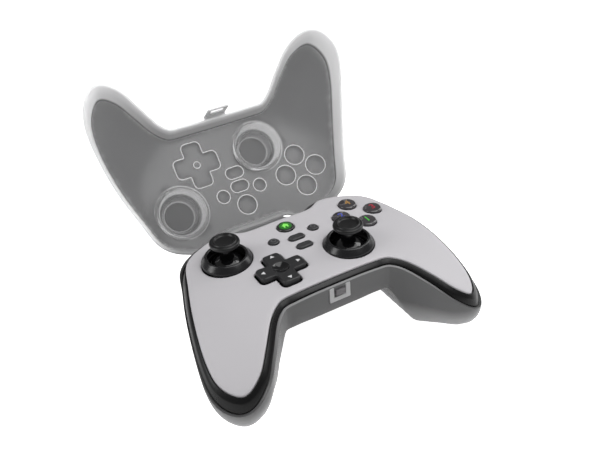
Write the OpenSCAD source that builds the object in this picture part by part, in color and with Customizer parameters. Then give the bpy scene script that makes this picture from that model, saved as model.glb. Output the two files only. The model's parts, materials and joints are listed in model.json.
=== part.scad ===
// Gamepad seated in a clear hinged hard case, with its lid open.
// Millimetres. X to the player's right, Y towards the hinge, Z up. The case stands on its grip bottoms.
// Inside the modules z = 0 is the faceplate at its middle; place() puts that at deck_h above the floor.
// Every shell follows one outline: rings are offset from it and joined, and each end is closed by a
// grid of chords that run from the front edge to the rear edge.

/* [Placing] */
// Height of the faceplate above the floor
deck_h = 47; // [42:0.5:55]

/* [Faceplate outline] */
// Front edge between the grips
front_y = -26.4; // [-32:0.2:-22]
// Half the straight part of the front edge
front_half = 29.5; // [22:0.5:36]
// Where the inner side of a grip leaves the front edge
grip_root = [34, -27.6]; // [-90:0.2:90]
// Inner side of a grip, upper point
inner_high = [41, -33]; // [-90:0.2:90]
// Inner side of a grip, middle point
inner_mid = [50, -43.6]; // [-90:0.2:90]
// Inner side of a grip, lower point
inner_low = [58.5, -51.8]; // [-90:0.2:90]
// End of a grip
grip_tip = [68.3, -53.4]; // [-90:0.2:90]
// Outer side of a grip, lower point
outer_low = [75.6, -42.6]; // [-90:0.2:90]
// Outer side of a grip, widest point
outer_mid = [76.2, -28]; // [-90:0.2:90]
// Outer side of a grip, upper point
outer_high = [71.8, -7]; // [-90:0.2:90]
// Side of the body
flank = [65.2, 14]; // [-90:0.2:90]
// Rear corner
corner = [58.5, 31]; // [-90:0.2:90]
// Rear edge between corner and shoulder
rear_mid = [46, 38.3]; // [-90:0.2:90]
// Shoulder beside the rear notch
shoulder = [31, 40.8]; // [-90:0.2:90]
// End of the rear notch
notch_end = [19.5, 35.4]; // [-90:0.2:90]
// Middle of the rear notch
notch_y = 35.2; // [30:0.2:40]

/* [Faceplate surface] */
// Bow of the faceplate: drop per square millimetre from its crown
bow = 0.00075; // [0:0.00005:0.002]
// Y of the crown; the front half bows down from here
crown_y = 12; // [0:1:20]
// Extra drop at the outer sides
side_drop = 5; // [0:0.5:10]
// Half width at which that drop is reached
side_half = 76; // [70:1:80]
// Drop along the grips per square millimetre
grip_drop = 0.006; // [0:0.0005:0.01]
// Rounded edge of the faceplate: drop and width
edge_round = [0.7, 2.6]; // [0.3:0.1:8]
// Faceplate thickness
plate_t = 1.6; // [1.2:0.1:2.4]

/* [Housing] */
// Wall of the front and back shells
shell_t = 1.8; // [1.2:0.1:2.6]
// Gap under the faceplate
plate_gap = 0.35; // [0.3:0.05:0.5]
// Share of the depth at which front and back shells part
part_q = 0.3; // [0.2:0.05:0.5]
// Top of the main board below the faceplate
board_top = 16.4; // [15:0.1:17]
// Main board thickness
board_t = 1.2; // [1:0.1:1.6]
// Free depth left under the back shell in the grips
grip_rise = 9; // [4:0.5:12]

/* [Case] */
// Wall of the tray and the lid
case_t = 1.8; // [1.2:0.1:3]
// Gap between the gamepad and the tray
seat_gap = 0.6; // [0.4:0.1:1.2]
// Gap between tray rim and lid rim when closed
rim_gap = 0.5; // [0.3:0.1:1]
// Tray depth below the faceplate at its middle
tray_mid = 22.5; // [21:0.5:26]
// Half widths between which the tray floor falls to the grip bottoms
grip_fall = [30, 46]; // [20:1:60]
// The same at the rear, where the floor falls to the trigger pockets
trigger_fall = [26, 38]; // [20:1:60]
// Y between which the one gives way to the other
fall_y = [4, 26]; // [-10:1:40]
// Inside of the lid above the faceplate
lid_gap = 3.5; // [2.5:0.1:6]
// Swing of the lid from closed to its open stop
lid_open = 132; // [100:1:150]
// Hinge axis: y and z
hinge = [47.9, -14.9]; // [-60:0.1:60]
// Hinge barrel radius
barrel_r = 3.6; // [3:0.1:5]
// Hinge pin radius
hinge_pin_r = 1.25; // [1:0.05:2]
// Half length of the hinge barrel, and of the tray's knuckle in it
barrel_half = [16, 7.7]; // [4:0.1:30]

/* [Sticks] */
// Left stick centre
left_stick = [-40.3, 17.6]; // [-60:0.1:60]
// Right stick centre
right_stick = [20.8, -7.4]; // [-60:0.1:60]
// Tilt axes below the faceplate
stick_pivot = 9; // [8:0.1:10]
// Cap top above the faceplate
cap_top = 13.5; // [12:0.1:16]
// Cap radius
cap_r = 8.2; // [7:0.1:9]
// Cap thickness
cap_t = 3.4; // [2.5:0.1:5]
// Collar: base radius, opening radius and height
collar = [13.9, 10.2, 4]; // [2:0.1:16]
// Dome radius about the tilt axes
dome_r = 12; // [11:0.1:13]
// Stem radius where it slides in the cradle
stem_r = 2; // [1.5:0.1:2.5]

/* [Cross pad] */
// Cross pad centre
dpad = [-20.8, -7.4]; // [-60:0.1:60]
// Cross pad span and arm width
dpad_size = [27, 10]; // [8:0.1:32]
// Rounding of its arms
dpad_round = 2.4; // [1:0.1:4]
// Cross pad top above the faceplate
dpad_top = 2; // [1:0.1:3]
// Tilt axes below the faceplate
dpad_pivot = 5.6; // [5:0.1:7]
// Glossy centre dish: radius of its sphere, and of the sphere's centre above the top
dish = [6.5, 4.4]; // [3:0.1:9]

/* [Buttons] */
// Centre of the face buttons
face = [41.5, 16.2]; // [-60:0.1:60]
// Distance of each face button from that centre
face_step = 10.5; // [9:0.1:13]
// Face button radius
face_r = 5.15; // [4:0.05:6]
// Home button y and radius
home = [25.7, 5.1]; // [3:0.1:30]
// Small round buttons: x, y and radius
small = [12.45, 16.5, 3.1]; // [2:0.05:20]
// Pill buttons: upper y, lower y, length and width
pill = [13.15, 4.2, 10.3, 5]; // [2:0.05:20]
// Gap round each button in the faceplate
button_gap = 0.35; // [0.3:0.05:0.6]
// Travel of the face buttons
face_travel = 1.2; // [0.5:0.1:1.5]
// Travel of the other buttons
key_travel = 0.6; // [0.4:0.1:1]

/* [Fits] */
// Radial clearance of turning and sliding shafts
run_gap = 0.04; // [0.02:0.01:0.08]
// Radial clearance of fixed pins
fix_gap = 0.02; // [0.01:0.01:0.05]

/* [Hidden] */
$fn = 48;

c_clear = [0.62, 0.62, 0.63];
c_plate = [0.77, 0.76, 0.78];
c_black = [0.06, 0.06, 0.065];
c_rubber = [0.09, 0.09, 0.095];
c_smoke = [0.13, 0.12, 0.14];
c_steel = [0.7, 0.7, 0.72];
c_board = [0.08, 0.25, 0.14];

// Values along the outline are given at four places: front edge, grip tip, flank, rear edge.
case_in = [2.6, 3.8, 1.9, 3.9];
rim_drop = [3.4, 5.2, 5.2, 5];
// How far the housing's rim reaches out over the tray's top edge, and where the lid's wall stands.
rim_over = [0.3, 0.3, 0.7, -seat_gap];
lid_in = [0.8, 0.8, 1.2, 0];
lid_out = [2.3, 2.3, 2.7, case_t];
rim_lift = 0.5;
tuck = [0.1, 0.75, 0.6, 0.13];
lip_out = [0.9, 0.9, 0.9, 0.3];
lip_drop = [0.3, 0.3, 0.3, 3.4];
lip_in = [0.3, 0.3, 0.3, 0.1];
lip_in_drop = [0.4, 0.4, 0.4, 2.2];
deck_in = [-0.8, -0.8, -0.8, -6.3];
lid_crease = [0.4, 0.6, 0.6, 1.6];
// Room left behind the housing for bumpers and triggers, and the smaller room at the bridge.
rear_room = 7.3;
bridge_room = 4.6;
grip_dir = [0.55, -0.83];
grip_start = 30.3;
loop_sub = 3;
// Shares along a chord at which a cap has points: the faceplate and lid, the tray, the deck, the back shell.
top_v = [0.04, 0.13, 0.3, 0.5, 0.7, 0.87, 0.96];
floor_v = [0.06, 0.16, 0.27, 0.385, 0.5, 0.615, 0.73, 0.84, 0.94];
deck_v = [0.04, 0.13, 0.5, 0.87, 0.96];
back_v = [0.1, 0.3, 0.5, 0.7, 0.9];

function smooth(t) = let (u = max(0, min(1, t))) u * u * (3 - 2 * u);
function mix(a, b, t) = a + (b - a) * t;
function flip(p) = [-p[0], p[1]];

half_outline = concat(
    [for (f = [0, 0.47, 0.68, 0.85, 1]) [f * front_half, front_y]],
    [grip_root, inner_high, inner_mid, inner_low, grip_tip, outer_low, outer_mid, outer_high,
     flank, corner, rear_mid, shoulder, notch_end, [0, notch_y]]);
control = concat(half_outline, [for (i = [len(half_outline) - 2 : -1 : 1]) flip(half_outline[i])]);

// Point of the closed curve through the control points; t counts control points.
function curve(t) =
    let (n = len(control), i = floor(t), s = t - i,
         a = control[(i + n - 1) % n], b = control[i % n],
         c = control[(i + 1) % n], d = control[(i + 2) % n])
    0.5 * (2 * b + (c - a) * s + (2 * a - 5 * b + 4 * c - d) * s * s + (3 * b - a - 3 * c + d) * s * s * s);
// Outward normal of that curve.
function curve_out(t) =
    let (n = len(control), d = curve(t + 0.02) - curve(t + n - 0.02), l = norm(d)) [d[1] / l, -d[0] / l];

count = len(control) * loop_sub;
quarter = count / 4;
outline = [for (j = [0 : count - 1]) curve(j / loop_sub)];
normals = [for (j = [0 : count - 1]) curve_out(j / loop_sub)];

// 0 at the front middle, 1 at the grip tip, 2 at the rear middle.
function where(j) = (j <= 2 * quarter ? j : count - j) / quarter;
function along(v, j) = lookup(where(j), [[0, v[0]], [0.62, v[0]], [0.93, v[1]], [1.07, v[1]],
    [1.25, v[2]], [1.5, v[2]], [1.62, v[3]], [2, v[3]]]);
function room(j) = lookup(where(j), [[0, 0], [1.5, 0], [1.62, rear_room], [1.86, rear_room],
    [1.93, bridge_room], [2, bridge_room]]);
function chord_of(j) = let (h = j <= 2 * quarter ? j : count - j) h <= quarter ? h : 2 * quarter - h;
// Middle line of the body and grips, which the lower walls draw in towards.
function spine(j) =
    let (c = min(chord_of(j), quarter - 3), m = (outline[c] + outline[2 * quarter - c]) / 2)
    j <= 2 * quarter ? m : flip(m);

function plate_z(p) =
    let (x = abs(p[0]), s = max(0, grip_dir[0] * x + grip_dir[1] * p[1] - grip_start))
    -(bow * x * x + bow * pow(max(crown_y - p[1], 0), 2) + side_drop * pow(x / side_half, 6)
      + grip_drop * s * s);
function edge_z(d) =
    d >= edge_round[1] ? 0 : edge_round[0] * (1 - sqrt(max(0, 1 - pow(1 - d / edge_round[1], 2))));
function skin_z(p, d) = plate_z(p) - edge_z(d);
// Floor of the tray: level in the middle, falling to the grips and trigger pockets, which rise lifts.
function floor_z(p, rise = 0) =
    let (f = mix(grip_fall, trigger_fall, smooth((p[1] - fall_y[0]) / (fall_y[1] - fall_y[0]))))
    -(tray_mid - case_t) - (deck_h - tray_mid - rise) * smooth((abs(p[0]) - f[0]) / (f[1] - f[0]));
function off_point(j, d) = outline[j] + normals[j] * d;
function rim_z(j) = plate_z(off_point(j, along(case_in, j))) - along(rim_drop, j);
// Point of the case's inner wall: q is 0 at the rim and 1 at the floor; off and lift move it out and up.
function wall_point(j, q, off, lift, rise = 0) =
    let (a = off_point(j, along(case_in, j) + off),
         p = a + (spine(j) - a) * along(tuck, j) * (1 - sqrt(1 - q * q)))
    [p[0], p[1], mix(rim_z(j), floor_z(p, rise), q) + lift];

function wall_ring(q, off, lift) = [for (j = [0 : count - 1]) wall_point(j, q, off, lift)];
function shell_ring(q, off, lift) = [for (j = [0 : count - 1])
    wall_point(j, q, off - room(j), lift, grip_rise)];
// Ring at the rim's height whose offset from the tray's inner wall changes along the outline.
function rim_ring(offs, lift, share) = [for (j = [0 : count - 1])
    wall_point(j, 0, along(offs, j) - share * room(j), lift)];
// Ring at an offset from the outline, at a drop below the faceplate's edge there.
function edge_ring(offs, drops) = [for (j = [0 : count - 1])
    let (p = off_point(j, along(offs, j))) [p[0], p[1], skin_z(outline[j], 0) - along(drops, j)]];

// The same drop at all four places.
function level(d) = [d, d, d, d];

function front_of(c) = c >= 0 ? c : count + c;
function cap_points(ring, shares, height) = [for (c = [1 - quarter : quarter - 1])
    let (a = ring[front_of(c)], b = ring[2 * quarter - c], l = norm([b[0] - a[0], b[1] - a[1]]))
    for (v = shares) let (p = mix(a, b, v)) [p[0], p[1], height([p[0], p[1]], min(v, 1 - v) * l)]];
function cap_index(base, row, n, k, w) =
    let (c = k + 1 - quarter)
    w == 0 ? row + front_of(c) : w == n + 1 ? row + 2 * quarter - c : base + k * n + w - 1;
function cap_faces(base, row, n, up) =
    let (last = 2 * quarter - 2, right = row + quarter, left = row + 3 * quarter)
    [for (w = [0 : n])
        each concat(
            [for (k = [0 : last - 1])
                let (a = cap_index(base, row, n, k, w), b = cap_index(base, row, n, k + 1, w),
                     c = cap_index(base, row, n, k + 1, w + 1), d = cap_index(base, row, n, k, w + 1))
                each k + 1 < quarter
                    ? (up ? [[a, c, b], [a, d, c]] : [[a, b, c], [a, c, d]])
                    : (up ? [[a, d, b], [b, d, c]] : [[a, b, d], [b, c, d]])],
            [let (a = cap_index(base, row, n, last, w), d = cap_index(base, row, n, last, w + 1))
                up ? [a, d, right] : [a, right, d]],
            [let (a = cap_index(base, row, n, 0, w), d = cap_index(base, row, n, 0, w + 1))
                up ? [left, d, a] : [left, a, d]])];

// Solid from rings: the first ring is closed by a cap that faces down, the last by one that faces up.
module ring_solid(rings, shares, low, high) {
    size = len(rings) * count;
    n = len(shares);
    low_points = cap_points(rings[0], shares, low);
    high_points = cap_points(rings[len(rings) - 1], shares, high);
    points = concat([for (r = rings) each r], low_points, high_points);
    walls = [for (i = [0 : len(rings) - 2]) for (j = [0 : count - 1])
        let (a = i * count + j, b = i * count + (j + 1) % count)
        each [[a, a + count, b + count], [a, b + count, b]]];
    polyhedron(points, concat(walls, cap_faces(size, 0, n, false),
        cap_faces(size + len(low_points), (len(rings) - 1) * count, n, true)));
}

// Ring-shaped solid: each ring joins the next, and the last the first, with the same diagonals as a
// ring_solid of the first and last ring, so that the two can meet there.
module ring_loop(rings) {
    m = len(rings);
    polyhedron([for (r = rings) each r], [for (i = [0 : m - 1]) for (j = [0 : count - 1])
        let (a = i * count + j, b = i * count + (j + 1) % count, d = (i + 1) % m * count + j,
             c = (i + 1) % m * count + (j + 1) % count)
        each i < m - 1 ? [[a, d, c], [a, c, b]] : [[a, d, b], [b, d, c]]]);
}

// Solid from cross-sections of equal length, with a fan at each end.
module loft(sections) {
    n = len(sections[0]);
    m = len(sections);
    walls = [for (i = [0 : m - 2]) for (j = [0 : n - 1])
        let (a = i * n + j, b = i * n + (j + 1) % n)
        each [[a, b + n, b], [a, a + n, b + n]]];
    polyhedron([for (s = sections) each s], concat(walls,
        [for (j = [1 : n - 2]) [0, j, j + 1]],
        [for (j = [1 : n - 2]) [(m - 1) * n, (m - 1) * n + j + 1, (m - 1) * n + j]]));
}

module place() translate([0, -origin_y, deck_h]) children();
module at(p, z) translate([p[0], p[1], z]) children();
module rise(r, z0, z1) translate([0, 0, z0]) cylinder(r = r, h = z1 - z0);
module bar_x(r, x0, x1) translate([x0, 0, 0]) rotate([0, 90, 0]) cylinder(r = r, h = x1 - x0);
module bar_y(r, y0, y1) translate([0, y0, 0]) rotate([-90, 0, 0]) cylinder(r = r, h = y1 - y0);
module pill_2d(l, w) {
    square([l - w, w], center = true);
    for (s = [-1, 1]) translate([s * (l - w) / 2, 0]) circle(d = w);
}
module cross_2d(span, arm, r) for (a = [0, 90]) rotate(a) {
    square([span - 2 * r, arm], center = true);
    square([span, arm - 2 * r], center = true);
    for (s = [-1, 1]) for (t = [-1, 1]) translate([s * (span / 2 - r), t * (arm / 2 - r)]) circle(r = r);
}

// Buttons: name, centre, radius.
function face_at(k) = face + face_step * [[0, 1], [1, 0], [0, -1], [-1, 0]][k];
small_left_at = [-small[0], small[1]];
small_right_at = [small[0], small[1]];
home_at = [0, home[0]];
pill_upper_at = [0, pill[0]];
pill_lower_at = [0, pill[1]];
round_keys = concat([for (k = [0 : 3]) concat(face_at(k), face_r)],
    [concat(home_at, home[1]), concat(small_left_at, small[2]), concat(small_right_at, small[2])]);
cut_low = 30;
cut_high = 20;

// Openings for the controls, through the faceplate and the deck under it.
module key_cuts(gap) {
    for (k = round_keys) at(k, -cut_low) cylinder(r = k[2] + gap, h = cut_low + cut_high);
    for (p = [pill_upper_at, pill_lower_at])
        at(p, -cut_low) linear_extrude(cut_low + cut_high) pill_2d(pill[2] + 2 * gap, pill[3] + 2 * gap);
}

// Case

tray_q = [1, 0.94, 0.8, 0.5, 0];
catch_size = [12, 8.5, 0.5];
nub_size = [6.4, 3, 1.4];
latch_size = [14, 13, 1.2];
latch_slot = [9, 4.6];
front_wall_y = front_y - case_in[0] - case_t;
front_rim_z = rim_z(0);
rear_wall_y = notch_y + case_in[3] + case_t;
rear_rim_z = rim_z(2 * quarter);
web_in = 1.45 * case_t;
foot_r = 5.5;
grip_foot = [59.5, -28];
rear_foot = [47, 14];

module barrel(x0, x1) at([0, hinge[0]], hinge[1]) bar_x(barrel_r, x0, x1);

module case_tray() color(c_clear) place() difference() {
    union() {
        ring_solid(concat(
            [for (q = tray_q) wall_ring(q, case_t, -case_t * q)],
            [for (i = [len(tray_q) - 1 : -1 : 0]) wall_ring(tray_q[i], 0, 0)]), floor_v,
            function (p, d) floor_z(p) - case_t, function (p, d) floor_z(p));
        for (s = [-1, 1]) for (f = [grip_foot, rear_foot])
            at([s * f[0], f[1]], -deck_h) cylinder(r = foot_r, h = case_t);
        barrel(-barrel_half[1], barrel_half[1]);
        translate([-barrel_half[1], rear_wall_y - web_in, hinge[1] - barrel_r])
            cube([2 * barrel_half[1], hinge[0] - rear_wall_y + web_in, barrel_r]);
        at([0, front_wall_y + case_t / 2], front_rim_z - catch_size[1] - 1) catch_frame();
    }
    at([0, hinge[0]], hinge[1]) bar_x(hinge_pin_r + fix_gap, -barrel_half[0], barrel_half[0]);
}

// Raised U and nub on the tray's front wall.
module catch_frame() {
    depth = case_t / 2 + catch_size[2];
    for (s = [-1, 1]) translate([s * (catch_size[0] / 2 - 0.8) - 0.8, -depth, 0])
        cube([1.6, depth, catch_size[1]]);
    translate([-catch_size[0] / 2, -depth, 0]) cube([catch_size[0], depth, 1.6]);
    translate([-nub_size[0] / 2, -case_t / 2 - nub_size[2], 3.4])
        cube([nub_size[0], case_t / 2 + nub_size[2], nub_size[1]]);
}

// Rings of the closed lid, from its inner panel round the wall to its outer panel.
lid_rings = [
    edge_ring(lid_crease, level(-lid_gap)),
    rim_ring(lid_in, rim_gap, 0),
    rim_ring(lid_out, rim_gap, 0),
    rim_ring(lid_out, rim_gap + 1.6, 0),
    edge_ring([for (v = lid_crease) v + case_t * 0.6], level(-lid_gap - case_t))];

// The origin is midway between the front of the tray and the far edge of the open lid.
function swung_y(p) = hinge[0] + (p[1] - hinge[0]) * cos(lid_open) + (p[2] - hinge[1]) * sin(lid_open);
tray_front = min([for (p = wall_ring(0, case_t, 0)) p[1]]);
lid_under = function (p, d) skin_z(p, d) + lid_gap;
lid_over = function (p, d) lid_under(p, d) + case_t;
lid_far = max([for (p = concat(lid_rings[3], cap_points(lid_rings[4], top_v, lid_over))) swung_y(p)]);
origin_y = (tray_front + lid_far) / 2;

dome_top = cap_top + 1.6;
dome_base_r = collar[0] + 1;
dome_peak_r = cap_r + 1;
dome_step = 8.5;
pocket_depth = 0.9;
pocket_rim = 0.5;
pocket_wall = 1.2;
mark_gap = 1.3;
dpad_boss = [3, 4.2];
latch_gap = 0.3;

// Conical cover over a stick: wide at the panel, a step, and a pocket for the cap.
module stick_dome(c) at(c, plate_z(c)) rotate_extrude() polygon([
    [dome_base_r - 0.6, lid_gap - 1.2], [dome_base_r + case_t, lid_gap - 1.2],
    [dome_base_r + case_t, lid_gap + case_t], [dome_peak_r + 3.6 + case_t, dome_step + case_t],
    [dome_peak_r + 1.6 + case_t, dome_step + case_t], [dome_peak_r + case_t, dome_top + case_t],
    [0, dome_top + case_t], [0, dome_top], [dome_peak_r, dome_top], [dome_peak_r + 1.6, dome_step],
    [dome_peak_r + 3.6, dome_step], [dome_base_r - 0.6, lid_gap + 1]]);

// Shapes over the buttons and the cross pad, from low to high beside the lid's inner surface.
module pocket_shapes(gap, low, high) {
    for (k = round_keys) at(k, plate_z(k) + lid_gap + low) cylinder(r = k[2] + gap, h = high - low);
    for (p = [pill_upper_at, pill_lower_at]) at(p, plate_z(p) + lid_gap + low)
        linear_extrude(high - low) pill_2d(pill[2] + 2 * gap, pill[3] + 2 * gap);
    at(dpad, plate_z(dpad) + lid_gap + low)
        linear_extrude(high - low) cross_2d(dpad_size[0] + 2 * gap, dpad_size[1] + 2 * gap, dpad_round + gap);
}

// Panel of the closed lid, with its pockets and stick domes. The wall round it is modelled apart.
module closed_panel() {
    difference() {
        union() {
            ring_solid([lid_rings[0], lid_rings[4]], top_v, lid_under, lid_over);
            pocket_shapes(mark_gap + pocket_wall, -pocket_rim, pocket_depth + pocket_wall);
        }
        pocket_shapes(mark_gap, -cut_high, pocket_depth);
        for (c = [left_stick, right_stick])
            at(c, -cut_low) cylinder(r = dome_base_r, h = cut_low + cut_high);
    }
    for (c = [left_stick, right_stick]) stick_dome(c);
    at(dpad, plate_z(dpad) + lid_gap - pocket_rim) difference() {
        cylinder(r = dpad_boss[1], h = pocket_rim + pocket_depth + pocket_wall / 2);
        translate([0, 0, -1]) cylinder(r = dpad_boss[0], h = 1 + pocket_rim + pocket_depth);
    }
}

// Wall of the closed lid, from the panel's crease to the rim, with the hinge knuckles and the latch.
module closed_wall() difference() {
    union() {
        ring_loop(lid_rings);
        for (s = [-1, 1]) lid_knuckle(s);
        at([0, front_wall_y - nub_size[2] - latch_gap], front_rim_z) latch_loop();
    }
    at([0, hinge[0]], hinge[1]) bar_x(hinge_pin_r + run_gap, -barrel_half[0] - 1, barrel_half[0] + 1);
}

// Ear that joins the lid's rear wall to its hinge knuckle.
module lid_knuckle(s) {
    x0 = s > 0 ? barrel_half[1] + 0.4 : -barrel_half[0];
    x1 = s > 0 ? barrel_half[0] : -barrel_half[1] - 0.4;
    barrel(x0, x1);
    translate([x0, 0, 0]) rotate([90, 0, 90]) linear_extrude(x1 - x0) polygon([
        [rear_wall_y - case_t + 0.2, rear_rim_z + 3.4], [rear_wall_y - case_t + 0.2, rear_rim_z + rim_gap],
        [rear_wall_y + 0.6, rear_rim_z + rim_gap], [hinge[0] - barrel_r + 0.1, hinge[1]], hinge,
        [hinge[0] + 2.4, hinge[1] + 2.6], [rear_wall_y + 3, rear_rim_z + 3]]);
}

module latch_loop() translate([-latch_size[0] / 2, -latch_size[2], 3 - latch_size[1]]) {
    difference() {
        cube([latch_size[0], latch_size[2], latch_size[1]]);
        translate([(latch_size[0] - latch_slot[0]) / 2, -1, 1.8])
            cube([latch_slot[0], latch_size[2] + 2, latch_slot[1]]);
    }
    translate([0, 0, latch_size[1] - 1.8]) cube([latch_size[0], latch_size[2] + 3, 1.8]);
}

module open_lid() place()
    at([0, hinge[0]], hinge[1]) rotate([-lid_open, 0, 0]) at([0, -hinge[0]], -hinge[1]) children();
module case_lid() color(c_clear) open_lid() closed_panel();
module lid_wall() color(c_clear) open_lid() closed_wall();

module hinge_pin() color(c_steel) place()
    at([0, hinge[0]], hinge[1]) bar_x(hinge_pin_r, -barrel_half[0], barrel_half[0]);

// Housing

boss = [26, 3];
boss_at = [[boss[0], front_y + 4.4], [boss[0] - 4, 26]];
screw_r = 1.1;
screw_head = [2.2, 1.2];
// Gap under the back shell.
floor_gap = seat_gap + 0.3;
back_floor = tray_mid - case_t - floor_gap;
deck_z = plate_t + plate_gap;
dpad_gap = 1.1;
deck_dish_r = dpad_size[0] / 2 + 1.4;
collar_gap = 0.25;

module screw_places() for (s = [-1, 1]) for (b = boss_at) at([s * b[0], b[1]], 0) {
    $roof = plate_z(b) - deck_z;
    children();
}

module faceplate() color(c_plate) place() difference() {
    ring_solid([edge_ring(level(0), level(plate_t)), edge_ring(level(0), level(0))], top_v,
        function (p, d) skin_z(p, d) - plate_t, function (p, d) skin_z(p, d));
    key_cuts(button_gap);
    for (c = [left_stick, right_stick])
        at(c, -cut_low) cylinder(r = collar[0] + collar_gap, h = cut_low + cut_high);
    at(dpad, -cut_low) linear_extrude(cut_low + cut_high)
        cross_2d(dpad_size[0] + 2 * dpad_gap, dpad_size[1] + 2 * dpad_gap, dpad_round + dpad_gap);
}

module front_shell() color(c_black) place() difference() {
    union() {
        ring_solid([
            edge_ring(deck_in, level(deck_z + shell_t)),
            shell_ring(part_q, -seat_gap - shell_t, 0.1),
            shell_ring(part_q, -seat_gap, 0.1),
            shell_ring(0, -seat_gap, rim_lift - 0.1),
            rim_ring(rim_over, rim_lift, 1),
            edge_ring(lip_out, lip_drop),
            edge_ring(lip_in, lip_in_drop),
            edge_ring(lip_in, level(deck_z))], deck_v,
            function (p, d) skin_z(p, d) - deck_z - shell_t,
            function (p, d) skin_z(p, max(0, d - 2 * lip_in[0])) - deck_z);
        screw_places() rise(boss[1], -board_top + 1, $roof - 1.2);
    }
    key_cuts(button_gap);
    for (k = round_keys) at(k, plate_z(k) + key_low - face_travel - flange_gap)
        cylinder(r = k[2] + flange + flange_gap, h = face_travel + 1 + 2 * flange_gap);
    for (c = [left_stick, right_stick]) at(c, -cut_low) cylinder(r = dome_r - 0.2, h = cut_low + cut_high);
    at(dpad, -cut_low) cylinder(r = deck_dish_r, h = cut_low + cut_high);
    screw_places() rise(screw_r + fix_gap, -board_top, $roof - shell_t - 0.8);
}

back_q = [1, 0.88, 0.62, part_q];

module back_shell() color(c_black) place() difference() {
    union() {
        ring_solid(concat(
            [for (q = back_q) shell_ring(q, -seat_gap, floor_gap * q - (q == part_q ? 0.4 : 0))],
            [for (i = [len(back_q) - 1 : -1 : 0])
                shell_ring(back_q[i], -seat_gap - shell_t, (floor_gap + shell_t) * back_q[i]
                    - (back_q[i] == part_q ? 0.4 + shell_t * part_q : 0))]), back_v,
            function (p, d) floor_z(p, grip_rise) + floor_gap,
            function (p, d) floor_z(p, grip_rise) + floor_gap + shell_t);
        screw_places() rise(boss[1], -back_floor + 0.5, -board_top + 0.8);
    }
    screw_places() rise(screw_r + 0.15, -cut_low, 0);
    screw_places() rise(screw_head[0] + 0.2, -cut_low, -back_floor + screw_head[1] + 0.1);
}

module housing_screws() color(c_steel) place() screw_places() {
    rise(screw_head[0], -back_floor + 0.1, -back_floor + 0.1 + screw_head[1]);
    rise(screw_r, -back_floor + 0.2, $roof - shell_t - 2);
}

bridge = [15, 37.5];
bridge_z = [-14.4, -13, -5.9, -2.7];
eye_at = [18.6, 35.8];
eye_r = 2.5;
bumper_pin_r = 1.2;
bridge_t = 3.3;
usb_size = [9, 3, 3.2];
usb_z = -10.9;

module rear_bridge() color(c_black) place() difference() {
    union() {
        bridge_block(bridge[0], bridge_t, bridge_z[2]);
        bridge_block(bridge[0], 1.6, bridge_z[3]);
        bridge_block(eye_at[0] + 2, bridge_t, bridge_z[1]);
        for (s = [-1, 1]) at([s * eye_at[0], eye_at[1]], bridge_z[1] - 0.5)
            cylinder(r = bumper_pin_r, h = bridge_z[2] - bridge_z[1]);
    }
    translate([-usb_size[0] / 2 - 0.1, bridge[1] - usb_size[1], usb_z - 0.1])
        cube([usb_size[0] + 0.2, usb_size[1] + 1, usb_size[2] + 0.2]);
}

module bridge_block(half, depth, top) translate([-half, bridge[1] - depth, bridge_z[0]])
    cube([2 * half, depth, top - bridge_z[0]]);

module usb_port() color(c_steel) place()
    translate([-usb_size[0] / 2, bridge[1] - usb_size[1] + 0.1, usb_z]) difference() {
        cube([usb_size[0], usb_size[1] - 0.1, usb_size[2]]);
        translate([0.5, 0.8, 0.5]) cube([usb_size[0] - 1, usb_size[1], usb_size[2] - 1]);
    }

// Inside

// Right half of the board's outline, from the front middle to the rear middle.
board_half = [[40, -18.7], [56, -6], [56, 12], [52, 22], [46, 30], [33, 30], [31, 22], [17, 22], [15, 28.2]];

module main_board() color(c_board) place() translate([0, 0, -board_top - board_t]) linear_extrude(board_t)
    polygon(concat(board_half, [for (i = [len(board_half) - 1 : -1 : 0]) flip(board_half[i])]));

battery_size = [20, 20.3, 8];
module battery() color(c_steel) place()
    translate([-battery_size[0] / 2, -19.5, -board_top]) cube(battery_size);

membrane_t = 1;
membrane_half = 17;
membrane_y = [2.4, 23.6];
membrane_edge = 4.5;
membrane_cut = [[15, 15], [14, 13.5]];
pip = [2.6, 1.4];
pip_top = -board_top + membrane_t + pip[1];

module pips(places) for (p = places) at(p, 0) rise(pip[0], -board_top + membrane_t / 2, pip_top);

module face_membrane() color(c_smoke) place() {
    at(face, -board_top) linear_extrude(membrane_t) intersection() {
        circle(r = face_step + membrane_edge);
        translate(-membrane_cut[0]) square(membrane_cut[0] + membrane_cut[1]);
    }
    pips([for (k = [0 : 3]) face_at(k)]);
}

module centre_membrane() color(c_smoke) place() {
    translate([-membrane_half, membrane_y[0], -board_top])
        cube([2 * membrane_half, membrane_y[1] - membrane_y[0], membrane_t]);
    translate([-membrane_half + 4, membrane_y[1] - 1, -board_top])
        cube([2 * membrane_half - 8, home[0] + 3 - membrane_y[1] + 1, membrane_t]);
    pips([small_left_at, small_right_at, pill_upper_at, pill_lower_at, home_at]);
}

module home_light() color([0.2, 0.8, 0.3]) place()
    at([0, home[0] - 4.4], 0) rise(1.2, -board_top + membrane_t, -board_top + membrane_t + 1.2);

// Sticks

ring_r = [5.5, 7];
ring_h = 3;
box = [19, 1.6];
box_top = 3.5;
core_r = 3.8;
core_h = 5;
trunnion_r = 1;

function stick_z(c) = plate_z(c) - stick_pivot;

// Square housing that carries a gimbal ring on two trunnions along X.
module gimbal_box(c, z, top) at(c, 0) difference() {
    translate([-box[0] / 2, -box[0] / 2, -board_top]) cube([box[0], box[0], board_top + z + top]);
    translate([-box[0] / 2 + box[1], -box[0] / 2 + box[1], z - 5.2])
        cube([box[0] - 2 * box[1], box[0] - 2 * box[1], cut_low]);
    translate([0, 0, z]) bar_x(trunnion_r + run_gap, -box[0], box[0]);
}

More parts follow.
